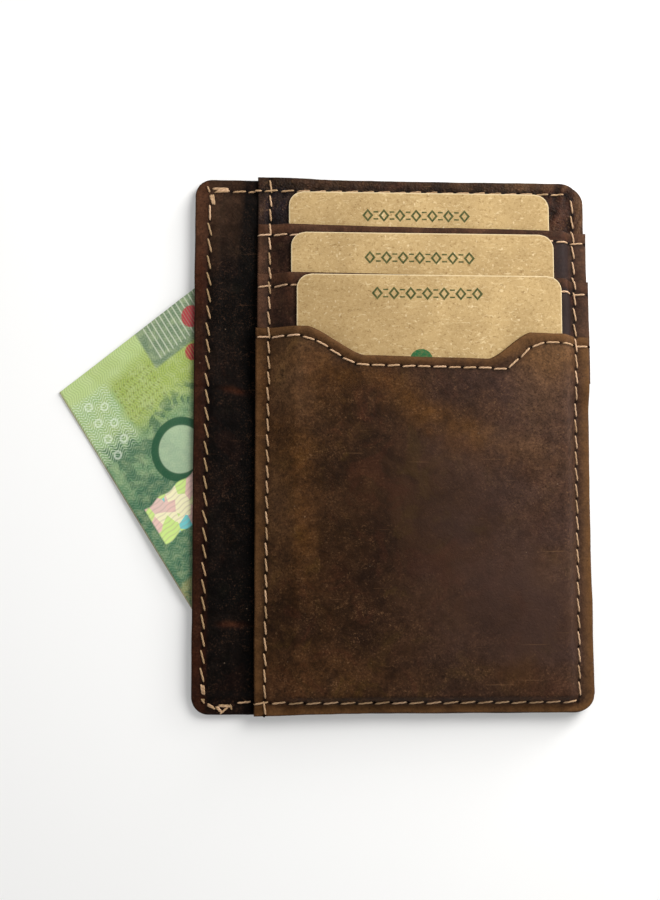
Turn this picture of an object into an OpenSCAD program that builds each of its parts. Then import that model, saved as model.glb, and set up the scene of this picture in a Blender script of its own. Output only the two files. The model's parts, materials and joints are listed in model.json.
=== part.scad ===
// Slim front-pocket wallet, lying on its back panel: a side-entry cash pocket
// under a stack of three upright card slots, with three cards and a folded note.
// X runs across, Y runs up towards the card mouths, Z stands off the back panel.

/* [Wallet] */
// Width of the outer panels
wallet_w = 80.5; // [78:0.5:88]
// Height of the outer panels
wallet_h = 109.4; // [107:0.2:116]
// Radius of the outer corners
corner_r = 3.5; // [2:0.5:5]
// Width of the bare strip beside the card stack
strip_w = 12.9; // [11:0.1:13.5]
// Width of the flat land that a seam presses down
land_w = 3; // [2.6:0.1:3.2]
// Width over which a panel rises from its outer seam
rise_w = 2.5; // [1.5:0.1:2.6]

/* [Leather] */
// Thickness of the back panel
back_t = 1.0; // [0.8:0.1:1.6]
// Thickness of the middle panel
middle_t = 0.9; // [0.7:0.1:1.4]
// Thickness of the card stack's base panel
base_t = 0.8; // [0.6:0.1:1.2]
// Thickness of the two slot strips
strip_t = 0.7; // [0.5:0.1:1.0]
// Thickness of the front pocket
front_t = 0.9; // [0.7:0.1:1.4]
// Thickness of the lining behind each slot strip
lining_t = 0.2; // [0.1:0.05:0.3]
// Thickness of the lining on each wall of the cash pocket
cash_lining_t = 0.15; // [0.1:0.05:0.2]
// Clear height of the cash pocket
cash_gap = 0.5; // [0.5:0.1:1.5]

/* [Card slots] */
// Drop from the top edge to the first strip's mouth
mouth_drop = 10.3; // [9:0.1:11]
// Drop from the first strip's mouth to the second's
mouth_pitch = 10.5; // [9.5:0.1:11]
// Fall of the two mouths per millimetre across
mouth_fall = 0.014; // [0:0.001:0.02]
// Drop from the top edge to the front pocket's shoulders
shoulder_drop = 31.8; // [31:0.1:33]
// Depth of the thumb notch in the front pocket
notch_depth = 5.6; // [5:0.1:8]
// Height at which both slot strips end under the front pocket
band_foot = 12; // [10:0.5:12]

/* [Contents] */
// Width of a card
card_w = 54; // [50:0.5:54]
// Height of a card
card_h = 84; // [80:0.5:84]
// Thickness of a card
card_t = 0.5; // [0.3:0.1:0.8]
// Corner radius of a card
card_r = 3; // [1:0.5:4]
// Drop from the top edge to the first card's top
card_drop = 2.9; // [2:0.1:4]
// Drop from each card's top to the next
card_pitch = 9.1; // [8.5:0.1:9.5]
// Clearance above and below a card
card_clear = 0.1; // [0.08:0.01:0.2]
// Thickness of the folded note
note_t = 0.24; // [0.1:0.02:0.26]

/* [Stitching] */
// Distance between needle holes
stitch_pitch = 3.4; // [2.8:0.1:4]
// Width of the thread
thread_w = 0.55; // [0.3:0.05:0.7]
// Height of the thread above the leather
thread_h = 0.25; // [0.15:0.05:0.25]
// Distance from the top and bottom edges to their stitch lines
seam_inset = 2.5; // [2:0.1:2.6]
// Distance from the left and right edges to their stitch lines
side_seam_inset = 2.6; // [2.2:0.1:2.6]
// How far the upright seams lean to the right at their tops, and back at their feet
seam_lean = 0.5; // [0:0.1:0.5]

/* [Hidden] */

half_w = wallet_w / 2;
half_h = wallet_h / 2;
stack_x = strip_w - half_w;

// Rises beside and below the cards
side_rise = 1.8;
floor_rise = 1.2;
floor_gap = 0.3;
band_rise = 6;
band_gap = 1.5;

// Flat stretch over the cards, between the side rises
field_x0 = stack_x + land_w + rise_w;
field_x1 = half_w - land_w - side_rise;

// Cash pocket
cash_space = 2 * cash_lining_t + cash_gap;
cash_lining_inset = land_w + rise_w + 0.3;
cash_lining_mouth = 0.5;

// Cards: a small sideways offset each, and where each slot's floor lies
card_x = [6, 6.4, 7.5];
card_top = [for (k = [0:2]) half_h - card_drop - k * card_pitch];
floor_y = [for (top = card_top) top - card_h - floor_gap];

// The notch's two flanks, between its shoulders and its flat bottom
notch_left = [-17.2, -5.9];
notch_right = [27.7, 19.3];
shoulder_fall = 0.02;

// Lining ends, kept back from the mouths and past the floor stitches
lining_back = 1.2;
lining_tail = 1.5;

// Note: its outer tip, its two edges' directions and their lengths
note_tip = [-67.5, 10];
note_edges = [[60, 38.5], [68, -58.1]];
note_r = 0.4;

// Stitches
stack_seam_inset = 2.1;
stitch_gap = 0.15;
hem_inset = 2.2;
hem_end = 0.5;
floor_seam = 0.8;
tack_rows = 4;
tack_len = 3.2;
tack_step = 0.6;

leather_front = "#5a3f26";
leather_strip = "#40281d";
leather_base = "#2e211b";
leather_dark = "#2a1c15";
fabric_lining = "#3a3029";
kraft = "#cdb07e";
note_green = "#a9c48b";
thread_tan = "#c9a27a";

$fn = 48;

function unit(t) = min(1, max(0, t));
function ease(t) = let (c = unit(t)) c * c * (3 - 2 * c);
function mix(a, b, p) = a + (b - a) * p;

// How far the rounded outer corners cut the outline back at x
function round_drop(x) =
    let (past = max(0, abs(x) - (half_w - corner_r)))
    corner_r - sqrt(max(0, corner_r * corner_r - past * past));
function right_round(x) = x > 0 ? round_drop(x) : 0;

// Edges
function mouth_1(x) = half_h - mouth_drop - mouth_fall * x;
function mouth_2(x) = mouth_1(x) - mouth_pitch;
function flank(x, ends) =
    let (t = (x - ends[0]) / (ends[1] - ends[0]))
    (unit(t) + ease(t)) / 2;
function notch(x) = notch_depth * min(flank(x, notch_left), flank(x, notch_right));
function front_edge(x) = half_h - shoulder_drop - shoulder_fall * (x - stack_x) - notch(x);

// Heights of the undersides, from the back panel up
function rim(x, y) = min(
    (half_h - land_w - abs(y)) / rise_w,
    (half_w - land_w - x) / rise_w
);
function middle_under(x, y) = back_t + cash_space * ease(rim(x, y));
function base_under(x, y) = middle_under(x, y) + middle_t;
function base_top(x, y) = base_under(x, y) + base_t;

// 0 on the lands at the sides of the stack, 1 over the cards
function across(x) = ease(min(
    (x - stack_x - land_w) / rise_w,
    (half_w - land_w - x) / side_rise
));
// 0 on a slot's sewn floor, 1 where its card stands
function above_floor(k, y) = ease((y - floor_y[k] + floor_rise) / floor_rise);

// Each card's lower face and the ceiling of its slot: the cards fan out, because
// each one rests on the strip and the lining before it
base_field = back_t + cash_space + middle_t + base_t;
slope_2 = strip_t / (band_foot - floor_y[0]);
slope_3 = slope_2 + strip_t / (band_foot - floor_y[1]);
card_slope = [0, slope_2, slope_3];
slot_room = card_t + card_clear;
rest_1 = base_field + card_clear;
rest_2 = rest_1 + slot_room + lining_t + card_clear;
rest_3 = rest_2 + slope_2 * (floor_y[1] - floor_y[0]) + slot_room + lining_t + card_clear;
function card_under(k, y) =
    k == 0 ? rest_1 :
    k == 1 ? rest_2 + slope_2 * (y - floor_y[0]) :
    rest_3 + slope_3 * (y - floor_y[1]);
function ceiling(k, y) = card_under(k, y) + slot_room;

function lining_under(k, x, y) = mix(base_top(x, y), ceiling(k, y), above_floor(k, y));
function strip_1_under(x, y) = mix(base_top(x, y), ceiling(0, y) + lining_t, across(x));
function strip_2_under(x, y) =
    mix(base_top(x, y) + strip_t, ceiling(1, y) + lining_t, across(x));
function front_under(x, y) = mix(
    base_top(x, y) + 2 * strip_t * ease((y - band_foot + band_rise) / (band_rise - band_gap)),
    ceiling(2, y),
    across(x) * above_floor(2, y)
);

// Height of the outermost leather at a point
function leather_z(x, y) =
    x < stack_x ? middle_under(x, y) + middle_t :
    y <= front_edge(x) ? front_under(x, y) + front_t :
    y <= mouth_2(x) ? strip_2_under(x, y) + strip_t :
    y <= mouth_1(x) ? strip_1_under(x, y) + strip_t :
    base_top(x, y);

// Grid lines: denser on the rises and on the curves of the outline
function steps(a, b, n) = [for (i = [1:n]) mix(a, b, i / n)];
right_columns = concat(
    [half_w - land_w - rise_w], steps(half_w - land_w - rise_w, half_w - land_w, 3),
    steps(field_x1, half_w - land_w, 3),
    [for (a = [0:18:90]) max(half_w - land_w + 0.1, half_w - corner_r + corner_r * sin(a))]
);
left_columns = concat([stack_x, stack_x + land_w], steps(stack_x + land_w, field_x0, 4));
notch_columns = concat(
    [notch_left[0]], steps(notch_left[0], notch_left[1], 7),
    [notch_right[1]], steps(notch_right[1], notch_right[0], 7)
);
stack_columns = unique(concat(left_columns, [field_x1], right_columns));
front_columns = unique(concat(left_columns, notch_columns, [field_x1], right_columns));
middle_columns = unique(concat(
    [for (a = [90:-18:0]) -half_w + corner_r - corner_r * sin(a)], [field_x1], right_columns
));
rim_rows = concat([half_h], steps(half_h - land_w, half_h - land_w - rise_w, 3), [half_h - land_w]);
panel_rows = unique(concat([for (y = rim_rows) -y], [floor_y[0], 0], rim_rows));
front_rows = unique(concat(
    [-half_h, floor_y[2] - floor_rise], steps(floor_y[2] - floor_rise, floor_y[2], 3),
    [for (y = rim_rows) if (y < half_h - land_w - 0.1) -y],
    steps(band_foot - band_rise, band_foot - band_gap, 3), [band_foot - band_rise, band_foot],
    [half_h - shoulder_drop]
));
function strip_rows(mouth) = [band_foot, (band_foot + mouth) / 2, mouth];
function lining_rows(k, mouth) = concat(
    [floor_y[k] - floor_rise - lining_tail, floor_y[k] - floor_rise],
    steps(floor_y[k] - floor_rise, floor_y[k], 3), [mouth - lining_back]
);

// Rising list with near-equal values dropped
function sorted(v) = len(v) < 2 ? v :
    let (
        pivot = v[floor(len(v) / 2)],
        low = [for (a = v) if (a < pivot) a],
        same = [for (a = v) if (a == pivot) a],
        high = [for (a = v) if (a > pivot) a]
    )
    concat(sorted(low), same, sorted(high));
function unique(v) = let (s = sorted(v)) [
    for (i = [0:len(s) - 1]) if (i == 0 || s[i] - s[i - 1] > 0.05) s[i]
];

// A sheet laid over a grid: under(x, y) is its underside, low(x) and high(x) are
// how far its bottom edge rises and its top edge drops from the first and last row
module sheet(xs, ys, under, thick, low, high) {
    n = len(xs);
    m = len(ys);
    middle = (ys[0] + ys[m - 1]) / 2;
    half = (ys[m - 1] - ys[0]) / 2;
    function placed(x, y) =
        y + (y < middle ? low(x) * (middle - y) : -high(x) * (y - middle)) / half;
    function at(s, i, j) = (s * n + i) * m + j;
    points = [
        for (s = [0, 1]) for (x = xs) for (y = ys)
            let (p = placed(x, y)) [x, p, under(x, p) + s * thick]
    ];
    cells = [for (i = [0:n - 2]) for (j = [0:m - 2]) [i, j]];
    upper = [for (c = cells) let (i = c[0], j = c[1]) each [
        [at(1, i, j), at(1, i, j + 1), at(1, i + 1, j + 1)],
        [at(1, i, j), at(1, i + 1, j + 1), at(1, i + 1, j)]
    ]];
    lower = [for (c = cells) let (i = c[0], j = c[1]) each [
        [at(0, i, j), at(0, i + 1, j + 1), at(0, i, j + 1)],
        [at(0, i, j), at(0, i + 1, j), at(0, i + 1, j + 1)]
    ]];
    function wall(i, j, k, l) = [at(0, i, j), at(1, i, j), at(1, k, l), at(0, k, l)];
    side_walls = [for (j = [0:m - 2]) each [wall(0, j + 1, 0, j), wall(n - 1, j, n - 1, j + 1)]];
    end_walls = [for (i = [0:n - 2]) each [wall(i, 0, i + 1, 0), wall(i + 1, m - 1, i, m - 1)]];
    polyhedron(points, concat(upper, lower, side_walls, end_walls));
}

module rounded_plate(w, h, r, t) {
    linear_extrude(t) {
        square([w - 2 * r, h], center = true);
        square([w, h - 2 * r], center = true);
        for (sx = [-1, 1], sy = [-1, 1])
            translate([sx * (w / 2 - r), sy * (h / 2 - r)]) circle(r);
    }
}

module cash_lining(z) {
    x0 = -half_w + cash_lining_mouth;
    x1 = half_w - cash_lining_inset;
    w = x1 - x0;
    h = wallet_h - 2 * cash_lining_inset;
    color(fabric_lining) translate([(x0 + x1) / 2, 0, z])
        linear_extrude(cash_lining_t) square([w, h], center = true);
}

module back_panel() {
    color(leather_dark) rounded_plate(wallet_w, wallet_h, corner_r, back_t);
}

module back_lining() cash_lining(back_t);

module middle_lining() cash_lining(back_t + cash_lining_t + cash_gap);

module middle_panel() {
    color(leather_dark) sheet(
        middle_columns, panel_rows, function (x, y) middle_under(x, y), middle_t,
        function (x) round_drop(x), function (x) round_drop(x)
    );
}

module stack_base() {
    color(leather_base) sheet(
        stack_columns, panel_rows, function (x, y) base_under(x, y), base_t,
        function (x) right_round(x), function (x) right_round(x)
    );
}

module slot_lining(k, mouth) {
    color(fabric_lining) sheet(
        [field_x0, right_columns[0], field_x1], lining_rows(k, mouth(0)),
        function (x, y) lining_under(k, x, y), lining_t,
        function (x) 0, function (x) mouth(0) - mouth(x)
    );
}

module slot_lining_1() slot_lining(0, function (x) mouth_1(x));

module slot_lining_2() slot_lining(1, function (x) mouth_2(x));

module slot_strip_1() {
    color(leather_strip) sheet(
        stack_columns, strip_rows(mouth_1(0)),
        function (x, y) strip_1_under(x, y), strip_t,
        function (x) 0, function (x) mouth_1(0) - mouth_1(x)
    );
}

module slot_strip_2() {
    color(leather_strip) sheet(
        stack_columns, strip_rows(mouth_2(0)),
        function (x, y) strip_2_under(x, y), strip_t,
        function (x) 0, function (x) mouth_2(0) - mouth_2(x)
    );
}

module front_pocket() {
    color(leather_front) sheet(
        front_columns, front_rows, function (x, y) front_under(x, y), front_t,
        function (x) right_round(x),
        function (x) front_edge(stack_x) - front_edge(x)
    );
}

// A card stands on its slot's floor and leans by its own slope
module card(k) {
    foot = card_top[k] - card_h;
    color(kraft) translate([card_x[k], foot, card_under(k, foot)])
        rotate([atan(card_slope[k]), 0, 0])
        translate([0, card_h / 2, 0]) rounded_plate(card_w, card_h, card_r, card_t);
}

module card_1() card(0);

module card_2() card(1);

module card_3() card(2);

module cash_note() {
    function along(edge) = edge[0] * [cos(edge[1]), sin(edge[1])];
    a = along(note_edges[0]);
    b = along(note_edges[1]);
    color(note_green)
        translate([0, 0, back_t + cash_lining_t + (cash_gap - note_t) / 2])
        linear_extrude(note_t)
        translate(note_tip) polygon([
            [note_r, -note_r], [note_r, note_r], a, a + b, b
        ]);
}

// One stitch: a flat bar with round ends between two points on the leather
module stitch(a, b) {
    d = b - a;
    run = norm([d.x, d.y]);
    translate(a) rotate([0, -atan2(d.z, run), atan2(d.y, d.x)]) linear_extrude(thread_h) {
        translate([0, -thread_w / 2]) square([norm(d), thread_w]);
        circle(thread_w / 2);
        translate([norm(d), 0]) circle(thread_w / 2);
    }
}

function on_leather(p) = [p.x, p.y, leather_z(p.x, p.y)];
function evenly(a, b) = let (n = max(1, round(norm(b - a) / stitch_pitch)))
    [for (i = [0:n]) mix(a, b, i / n)];

module stitches(holes) {
    color(thread_tan) for (i = [0:len(holes) - 2]) {
        a = mix(holes[i], holes[i + 1], stitch_gap);
        b = mix(holes[i + 1], holes[i], stitch_gap);
        stitch(on_leather(a), on_leather(b));
    }
}

seam_x = half_w - side_seam_inset;
seam_y = half_h - seam_inset;
stack_seam_x = stack_x + stack_seam_inset;

// An upright seam from y0 down to y1, leaning about x
module upright_seam(x, y0, y1) {
    function leaning(y) = [x + seam_lean * y / half_h, y];
    stitches(evenly(leaning(y0), leaning(y1)));
}

module left_edge_thread() {
    upright_seam(-seam_x, seam_y - stitch_pitch, -seam_y + stitch_pitch);
}

module stack_edge_thread() {
    upright_seam(stack_seam_x, half_h, -half_h);
}

module perimeter_thread() {
    right_y = seam_y - corner_r / 2;
    stitches(evenly([tack_len - seam_x, seam_y], [seam_x - corner_r / 2, seam_y]));
    upright_seam(seam_x, right_y, -right_y);
    stitches(evenly([seam_x - corner_r / 2, -seam_y], [tack_len - seam_x, -seam_y]));
}

module hem_thread(edge) {
    stitches([for (p = evenly([stack_x + hem_end, 0], [half_w - hem_end, 0]))
        [p.x, edge(p.x) - hem_inset]]);
}

module strip_1_hem_thread() hem_thread(function (x) mouth_1(x));

module strip_2_hem_thread() hem_thread(function (x) mouth_2(x));

module front_hem_thread() hem_thread(function (x) front_edge(x));

module slot_floor_thread(k) {
    y = floor_y[k] - floor_rise - floor_seam;
    holes = evenly([field_x0 + 1, y], [field_x1 - 1, y]);
    color(thread_tan) for (i = [0:len(holes) - 2]) {
        a = mix(holes[i], holes[i + 1], stitch_gap);
        b = mix(holes[i + 1], holes[i], stitch_gap);
        stitch([a.x, y, base_field + lining_t], [b.x, y, base_field + lining_t]);
    }
}

module slot_floor_thread_1() slot_floor_thread(0);

module slot_floor_thread_2() slot_floor_thread(1);

// Bundle of stitches that locks an end of the cash pocket's mouth
module corner_tack(side) {
    color(thread_tan) for (i = [0:tack_rows - 1]) {
        y = side * (seam_y - (i - 0.5) * tack_step);
        stitch([-seam_x, y, leather_z(-seam_x, y)], [tack_len - seam_x, y, leather_z(-seam_x, y)]);
    }
}

module corner_tack_top() corner_tack(1);

module corner_tack_bottom() corner_tack(-1);

back_panel();
back_lining();
middle_lining();
middle_panel();
stack_base();
slot_lining_1();
slot_strip_1();
slot_lining_2();
slot_strip_2();
front_pocket();
card_1();
card_2();
card_3();
cash_note();
left_edge_thread();
stack_edge_thread();
perimeter_thread();
strip_1_hem_thread();
strip_2_hem_thread();
front_hem_thread();
slot_floor_thread_1();
slot_floor_thread_2();
corner_tack_top();
corner_tack_bottom();
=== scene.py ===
import json
import math
import bpy
import numpy as np
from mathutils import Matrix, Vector


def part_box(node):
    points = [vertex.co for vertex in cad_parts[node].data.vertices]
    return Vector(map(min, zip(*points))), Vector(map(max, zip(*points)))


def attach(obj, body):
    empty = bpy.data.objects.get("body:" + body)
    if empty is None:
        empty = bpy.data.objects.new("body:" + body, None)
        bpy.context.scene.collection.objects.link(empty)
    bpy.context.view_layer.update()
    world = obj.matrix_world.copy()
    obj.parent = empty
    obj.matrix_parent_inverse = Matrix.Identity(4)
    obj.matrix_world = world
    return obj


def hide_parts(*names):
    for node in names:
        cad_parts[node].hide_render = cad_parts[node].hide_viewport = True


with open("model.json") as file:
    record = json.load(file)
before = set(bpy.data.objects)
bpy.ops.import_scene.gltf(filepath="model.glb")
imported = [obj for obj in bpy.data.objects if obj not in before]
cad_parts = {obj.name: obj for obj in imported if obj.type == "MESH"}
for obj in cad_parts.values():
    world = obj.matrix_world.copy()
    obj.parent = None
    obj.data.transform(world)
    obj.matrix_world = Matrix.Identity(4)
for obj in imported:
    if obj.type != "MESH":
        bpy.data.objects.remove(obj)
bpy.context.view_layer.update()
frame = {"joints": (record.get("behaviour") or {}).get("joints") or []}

MM = 0.001

# ---- camera and light

CAMERA_MM = (-28.4, -34.7, 284.3)
CAMERA_DEG = (6.68, -3.2, -0.14)
LENS_MM = 56
# the soft white all round: its strength from the side and from overhead, and the
# heights on the sky's sphere between which it changes
SKY_SIDE, SKY_OVERHEAD = 0.85, 0.10
SKY_FROM, SKY_TO = 0.55, 0.97
# name, place in mm, size in mm, watts, colour: the key light stands close at the upper
# right, and the low one widens its shadows
LIGHTS = (
    ("key", (155, 132, 232), 230, 0.97, (1.0, 0.985, 0.965)),
    ("low", (300, 270, 110), 160, 1.1, (1.0, 0.99, 0.98)),
)


def new_object(name, data):
    made = bpy.data.objects.new(name, data)
    bpy.context.scene.collection.objects.link(made)
    return made


def add_camera():
    data = bpy.data.cameras.new("camera")
    data.lens = LENS_MM
    data.clip_start = 0.01
    camera = new_object("camera", data)
    camera.location = [v * MM for v in CAMERA_MM]
    camera.rotation_euler = [math.radians(v) for v in CAMERA_DEG]
    bpy.context.scene.camera = camera


def add_light(name, place_mm, size_mm, watts, colour):
    """A round area light that faces the wallet."""
    data = bpy.data.lights.new(name, "AREA")
    data.shape = "DISK"
    data.size = size_mm * MM
    data.energy = watts
    data.color = colour
    light = new_object(name, data)
    light.location = np.array(place_mm) * MM
    light.rotation_euler = Vector(-light.location).to_track_quat("-Z", "Y").to_euler()


def add_sky():
    """Soft white all round, dimmer straight overhead, so that dark leather stays dark."""
    world = bpy.data.worlds.new("studio")
    world.use_nodes = True
    tree = world.node_tree
    background = tree.nodes["Background"]
    background.inputs["Color"].default_value = (1, 1, 1, 1)
    place = tree.nodes.new("ShaderNodeTexCoord")
    split = tree.nodes.new("ShaderNodeSeparateXYZ")
    ramp = tree.nodes.new("ShaderNodeMapRange")
    ramp.interpolation_type = "SMOOTHSTEP"
    for socket, value in zip(ramp.inputs[1:5], (SKY_FROM, SKY_TO, SKY_SIDE, SKY_OVERHEAD)):
        socket.default_value = value
    tree.links.new(place.outputs["Generated"], split.inputs[0])
    tree.links.new(split.outputs[2], ramp.inputs[0])
    tree.links.new(ramp.outputs[0], background.inputs["Strength"])
    bpy.context.scene.world = world


add_camera()
add_sky()
for light in LIGHTS:
    add_light(*light)
bpy.context.scene.view_settings.view_transform = "Standard"

# ---- numbers and noise


def unit(t):
    return np.clip(t, 0, 1)


def ease(t):
    c = unit(t)
    return c * c * (3 - 2 * c)


def mix(a, b, p):
    return a + (b - a) * p


def bell(t):
    return np.exp(-0.5 * t * t)


def lumps(x, y, size, seed):
    """Smooth random heights from -1 to 1, with lumps about size mm across."""
    n = 64
    table = np.random.default_rng(seed).uniform(-1, 1, (n, n))
    u, v = np.asarray(x) / size + 31.7, np.asarray(y) / size + 17.3
    i, j = np.floor(u).astype(int), np.floor(v).astype(int)
    p, q = ease(u - i), ease(v - j)
    low = mix(table[i % n, j % n], table[(i + 1) % n, j % n], p)
    high = mix(table[i % n, (j + 1) % n], table[(i + 1) % n, (j + 1) % n], p)
    return mix(low, high, q)


def clouds(x, y, size, seed, octaves=4):
    """lumps() at several sizes, each half the last."""
    total, weight = 0, 0
    for k in range(octaves):
        angle = 0.6 + 1.1 * k
        u = x * math.cos(angle) - y * math.sin(angle)
        v = x * math.sin(angle) + y * math.cos(angle)
        total = total + lumps(u, v, size / 2**k, seed + k) / 2**k
        weight += 1 / 2**k
    return total / weight * 1.6


# ---- the frame, in mm


def box_mm(node):
    low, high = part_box(node)
    return np.array(low) / MM, np.array(high) / MM


HALF_W, HALF_H, BACK_T = box_mm("back_panel")[1]
STACK_X = box_mm("stack_base")[0][0]
CORNER_R = 3.5
WORN_CORNER_R = 4.8
FRONT_OVERHANG = 0.45
LAND_W = 3.0
RISE_W = 2.5
SIDE_RISE = 1.8
FLOOR_RISE = 1.2
FRONT_FOOT_RISE = 2.6

MIDDLE_T = 0.9
BASE_T = 0.8
STRIP_T = 0.7
FRONT_T = 0.9
LINING_T = 0.2
CASH_SPACE = box_mm("middle_lining")[1][2] - BACK_T
BASE_FIELD = BACK_T + CASH_SPACE + MIDDLE_T + BASE_T

MOUTH_FALL = 0.014
SHOULDER_FALL = 0.02
NOTCH_DEPTH = 5.6
NOTCH_LEFT = (-17.2, -5.9)
NOTCH_RIGHT = (27.7, 19.3)
MOUTH_1 = HALF_H - 10.3
MOUTH_2 = MOUTH_1 - 10.5
SHOULDER = HALF_H - 31.8
BAND_FOOT = box_mm("slot_strip_1")[0][1]
BAND_RISE = 6.0

CARD_T = 0.5
CARD_CLEAR = 0.1
CARD_R = 3.0
CARD_LO = [box_mm(f"card_{k}")[0] for k in (1, 2, 3)]
CARD_HI = [box_mm(f"card_{k}")[1] for k in (1, 2, 3)]
CARD_SLOPE = [j["axis"][2] / j["axis"][1] for j in frame["joints"][:3]]
FLOOR_Y = [lo[1] - 0.3 for lo in CARD_LO]

# Stitch lengths: STITCH where a line has none of its own
STITCH = 3.3
LEFT_STITCH, STACK_STITCH, BOTTOM_STITCH, FRONT_STITCH = 3.5, 3.15, 3.37, 3.1
SEAM_INSET = 2.5
SIDE_SEAM_INSET = 2.6
STACK_SEAM_INSET = 2.1
SEAM_LEAN = 0.5
THREAD_R = 0.2

FIELD_X0 = STACK_X + LAND_W + RISE_W
FIELD_X1 = HALF_W - LAND_W - SIDE_RISE


def soft(t):
    """From 0 to 1 in a nearly straight line with eased ends."""
    return (unit(t) + ease(t)) / 2


def flank(x, ends):
    return soft((x - ends[0]) / (ends[1] - ends[0]))


def mouth_1(x):
    return MOUTH_1 - MOUTH_FALL * x


def mouth_2(x):
    return MOUTH_2 - MOUTH_FALL * x


def front_edge(x):
    notch = NOTCH_DEPTH * np.minimum(flank(x, NOTCH_LEFT), flank(x, NOTCH_RIGHT))
    return SHOULDER - SHOULDER_FALL * (x - STACK_X) - notch


# Undersides of the sheets, from the back panel up. The leather over the cards bridges
# from its seams to the cards' edges in a gentler slope than the CAD's solids.


def rim(x, y):
    inward = np.minimum(HALF_H - LAND_W - abs(y), HALF_W - LAND_W - x)
    return ease(inward / RISE_W)


def middle_under(x, y):
    return BACK_T + CASH_SPACE * rim(x, y)


def base_under(x, y):
    return middle_under(x, y) + MIDDLE_T


def base_top(x, y):
    return base_under(x, y) + BASE_T


def across(x, left_rise, right_rise=SIDE_RISE, land=LAND_W):
    left = soft((x - STACK_X - land) / left_rise)
    return np.minimum(left, soft((HALF_W - land - x) / right_rise))


def above_floor(k, y):
    return ease((y - FLOOR_Y[k] + FLOOR_RISE) / FLOOR_RISE)


def card_under(k, y):
    return CARD_LO[k][2] + CARD_SLOPE[k] * (y - CARD_LO[k][1])


def ceiling(k, y):
    return card_under(k, y) + CARD_T + CARD_CLEAR


def strip_1_under(x, y):
    return mix(base_top(x, y), ceiling(0, y) + LINING_T, across(x, 3.0))


def strip_2_under(x, y):
    return mix(base_top(x, y) + STRIP_T, ceiling(1, y) + LINING_T, across(x, 3.4))


def front_under(x, y):
    sides = base_top(x, y) + 2 * STRIP_T * ease((y - BAND_FOOT + BAND_RISE) / BAND_RISE)
    foot = ease((y - FLOOR_Y[2] + FRONT_FOOT_RISE) / FRONT_FOOT_RISE)
    return mix(sides, ceiling(2, y), across(x, 5.3, 3.2, 2.4) * foot)


# ---- seams


def evenly(a, b, stitch=STITCH):
    """Needle holes an even walk apart from a to b."""
    a, b = np.array(a, float), np.array(b, float)
    n = max(1, round(float(np.linalg.norm(b - a)) / stitch))
    return mix(a, b, np.linspace(0, 1, n + 1)[:, None])


def along(line, x0, x1, stitch=STITCH):
    """The same on the curve y = line(x)."""
    x = np.linspace(x0, x1, 2000)
    y = line(x)
    walk = np.concatenate([[0], np.cumsum(np.hypot(np.diff(x), np.diff(y)))])
    n = round(walk[-1] / stitch)
    spots = np.interp(np.linspace(0, walk[-1], n + 1), walk, x)
    return np.stack([spots, line(spots)], 1)


def leaning(x, y):
    return (x + SEAM_LEAN * y / HALF_H, y)


# Where the front pocket's stitches go down into the notch and come up out of it
HEM_NOTCH_LEFT = (-17.9, -7.2)
HEM_NOTCH_RIGHT = 29.0
NOTCH_TURN = 23.1
# How far below each mouth its hem is sewn
HEM_INSETS = (2.35, 2.75, 2.0)
# Where the other seams end
LEFT_SEAM_ENDS = (45.7, -48.4)
TOP_SEAM_START, BOTTOM_SEAM_END = -32.9, -31.4
CORNER_GAP_X, CORNER_GAP_Y = 0.8, 0.9


def front_hem_line(x):
    """The front pocket's stitches, which turn the notch's corners more sharply."""
    right = unit((x - HEM_NOTCH_RIGHT) / (NOTCH_TURN - HEM_NOTCH_RIGHT))
    notch = NOTCH_DEPTH * np.minimum(flank(x, HEM_NOTCH_LEFT), right)
    return SHOULDER - SHOULDER_FALL * (x - STACK_X) - notch - HEM_INSETS[2]


SEAM_X = HALF_W - SIDE_SEAM_INSET
SEAM_Y = HALF_H - SEAM_INSET
STACK_SEAM_X = STACK_X + STACK_SEAM_INSET
LEFT_SEAM = evenly(*[leaning(-SEAM_X, y) for y in LEFT_SEAM_ENDS], LEFT_STITCH)
STACK_SEAM = evenly(leaning(STACK_SEAM_X, HALF_H), leaning(STACK_SEAM_X, -HALF_H), STACK_STITCH)
TOP_SEAM = evenly((TOP_SEAM_START, SEAM_Y), (SEAM_X - CORNER_GAP_X, SEAM_Y))
RIGHT_SEAM = evenly(leaning(SEAM_X, SEAM_Y - CORNER_GAP_Y), leaning(SEAM_X, CORNER_GAP_Y - SEAM_Y))
BOTTOM_SEAM = evenly((SEAM_X - CORNER_GAP_X, -SEAM_Y), (BOTTOM_SEAM_END, -SEAM_Y), BOTTOM_STITCH)
HEM_1 = along(lambda x: mouth_1(x) - HEM_INSETS[0], STACK_X - 0.2, HALF_W + 0.1)
HEM_2 = along(lambda x: mouth_2(x) - HEM_INSETS[1], STACK_X - 0.2, HALF_W + 0.2)
HEM_FRONT = np.concatenate([
    along(front_hem_line, STACK_X - 0.5, NOTCH_TURN, FRONT_STITCH),
    along(front_hem_line, NOTCH_TURN, HALF_W + 0.3, FRONT_STITCH)[1:],
])


def pressed(x, y, seams):
    """1 on a seam's line, falling to 0 beside it, where stitches pull the leather in;
    and the same, narrower, at each needle hole."""
    valley, holes = np.zeros_like(x), np.zeros_like(x)
    for seam in seams:
        for a, b in zip(seam[:-1], seam[1:]):
            near = (np.abs(x - (a[0] + b[0]) / 2) < 4) & (np.abs(y - (a[1] + b[1]) / 2) < 4)
            if not near.any():
                continue
            px, py = x[near], y[near]
            run = b - a
            t = unit(((px - a[0]) * run[0] + (py - a[1]) * run[1]) / (run @ run))
            aside = np.hypot(px - a[0] - t * run[0], py - a[1] - t * run[1])
            valley[near] = np.maximum(valley[near], bell(aside / 0.6))
            for hole in (a, b):
                from_hole = np.hypot(px - hole[0], py - hole[1])
                holes[near] = np.maximum(holes[near], bell(from_hole / 0.45))
    return valley, holes


# ---- meshes


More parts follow.
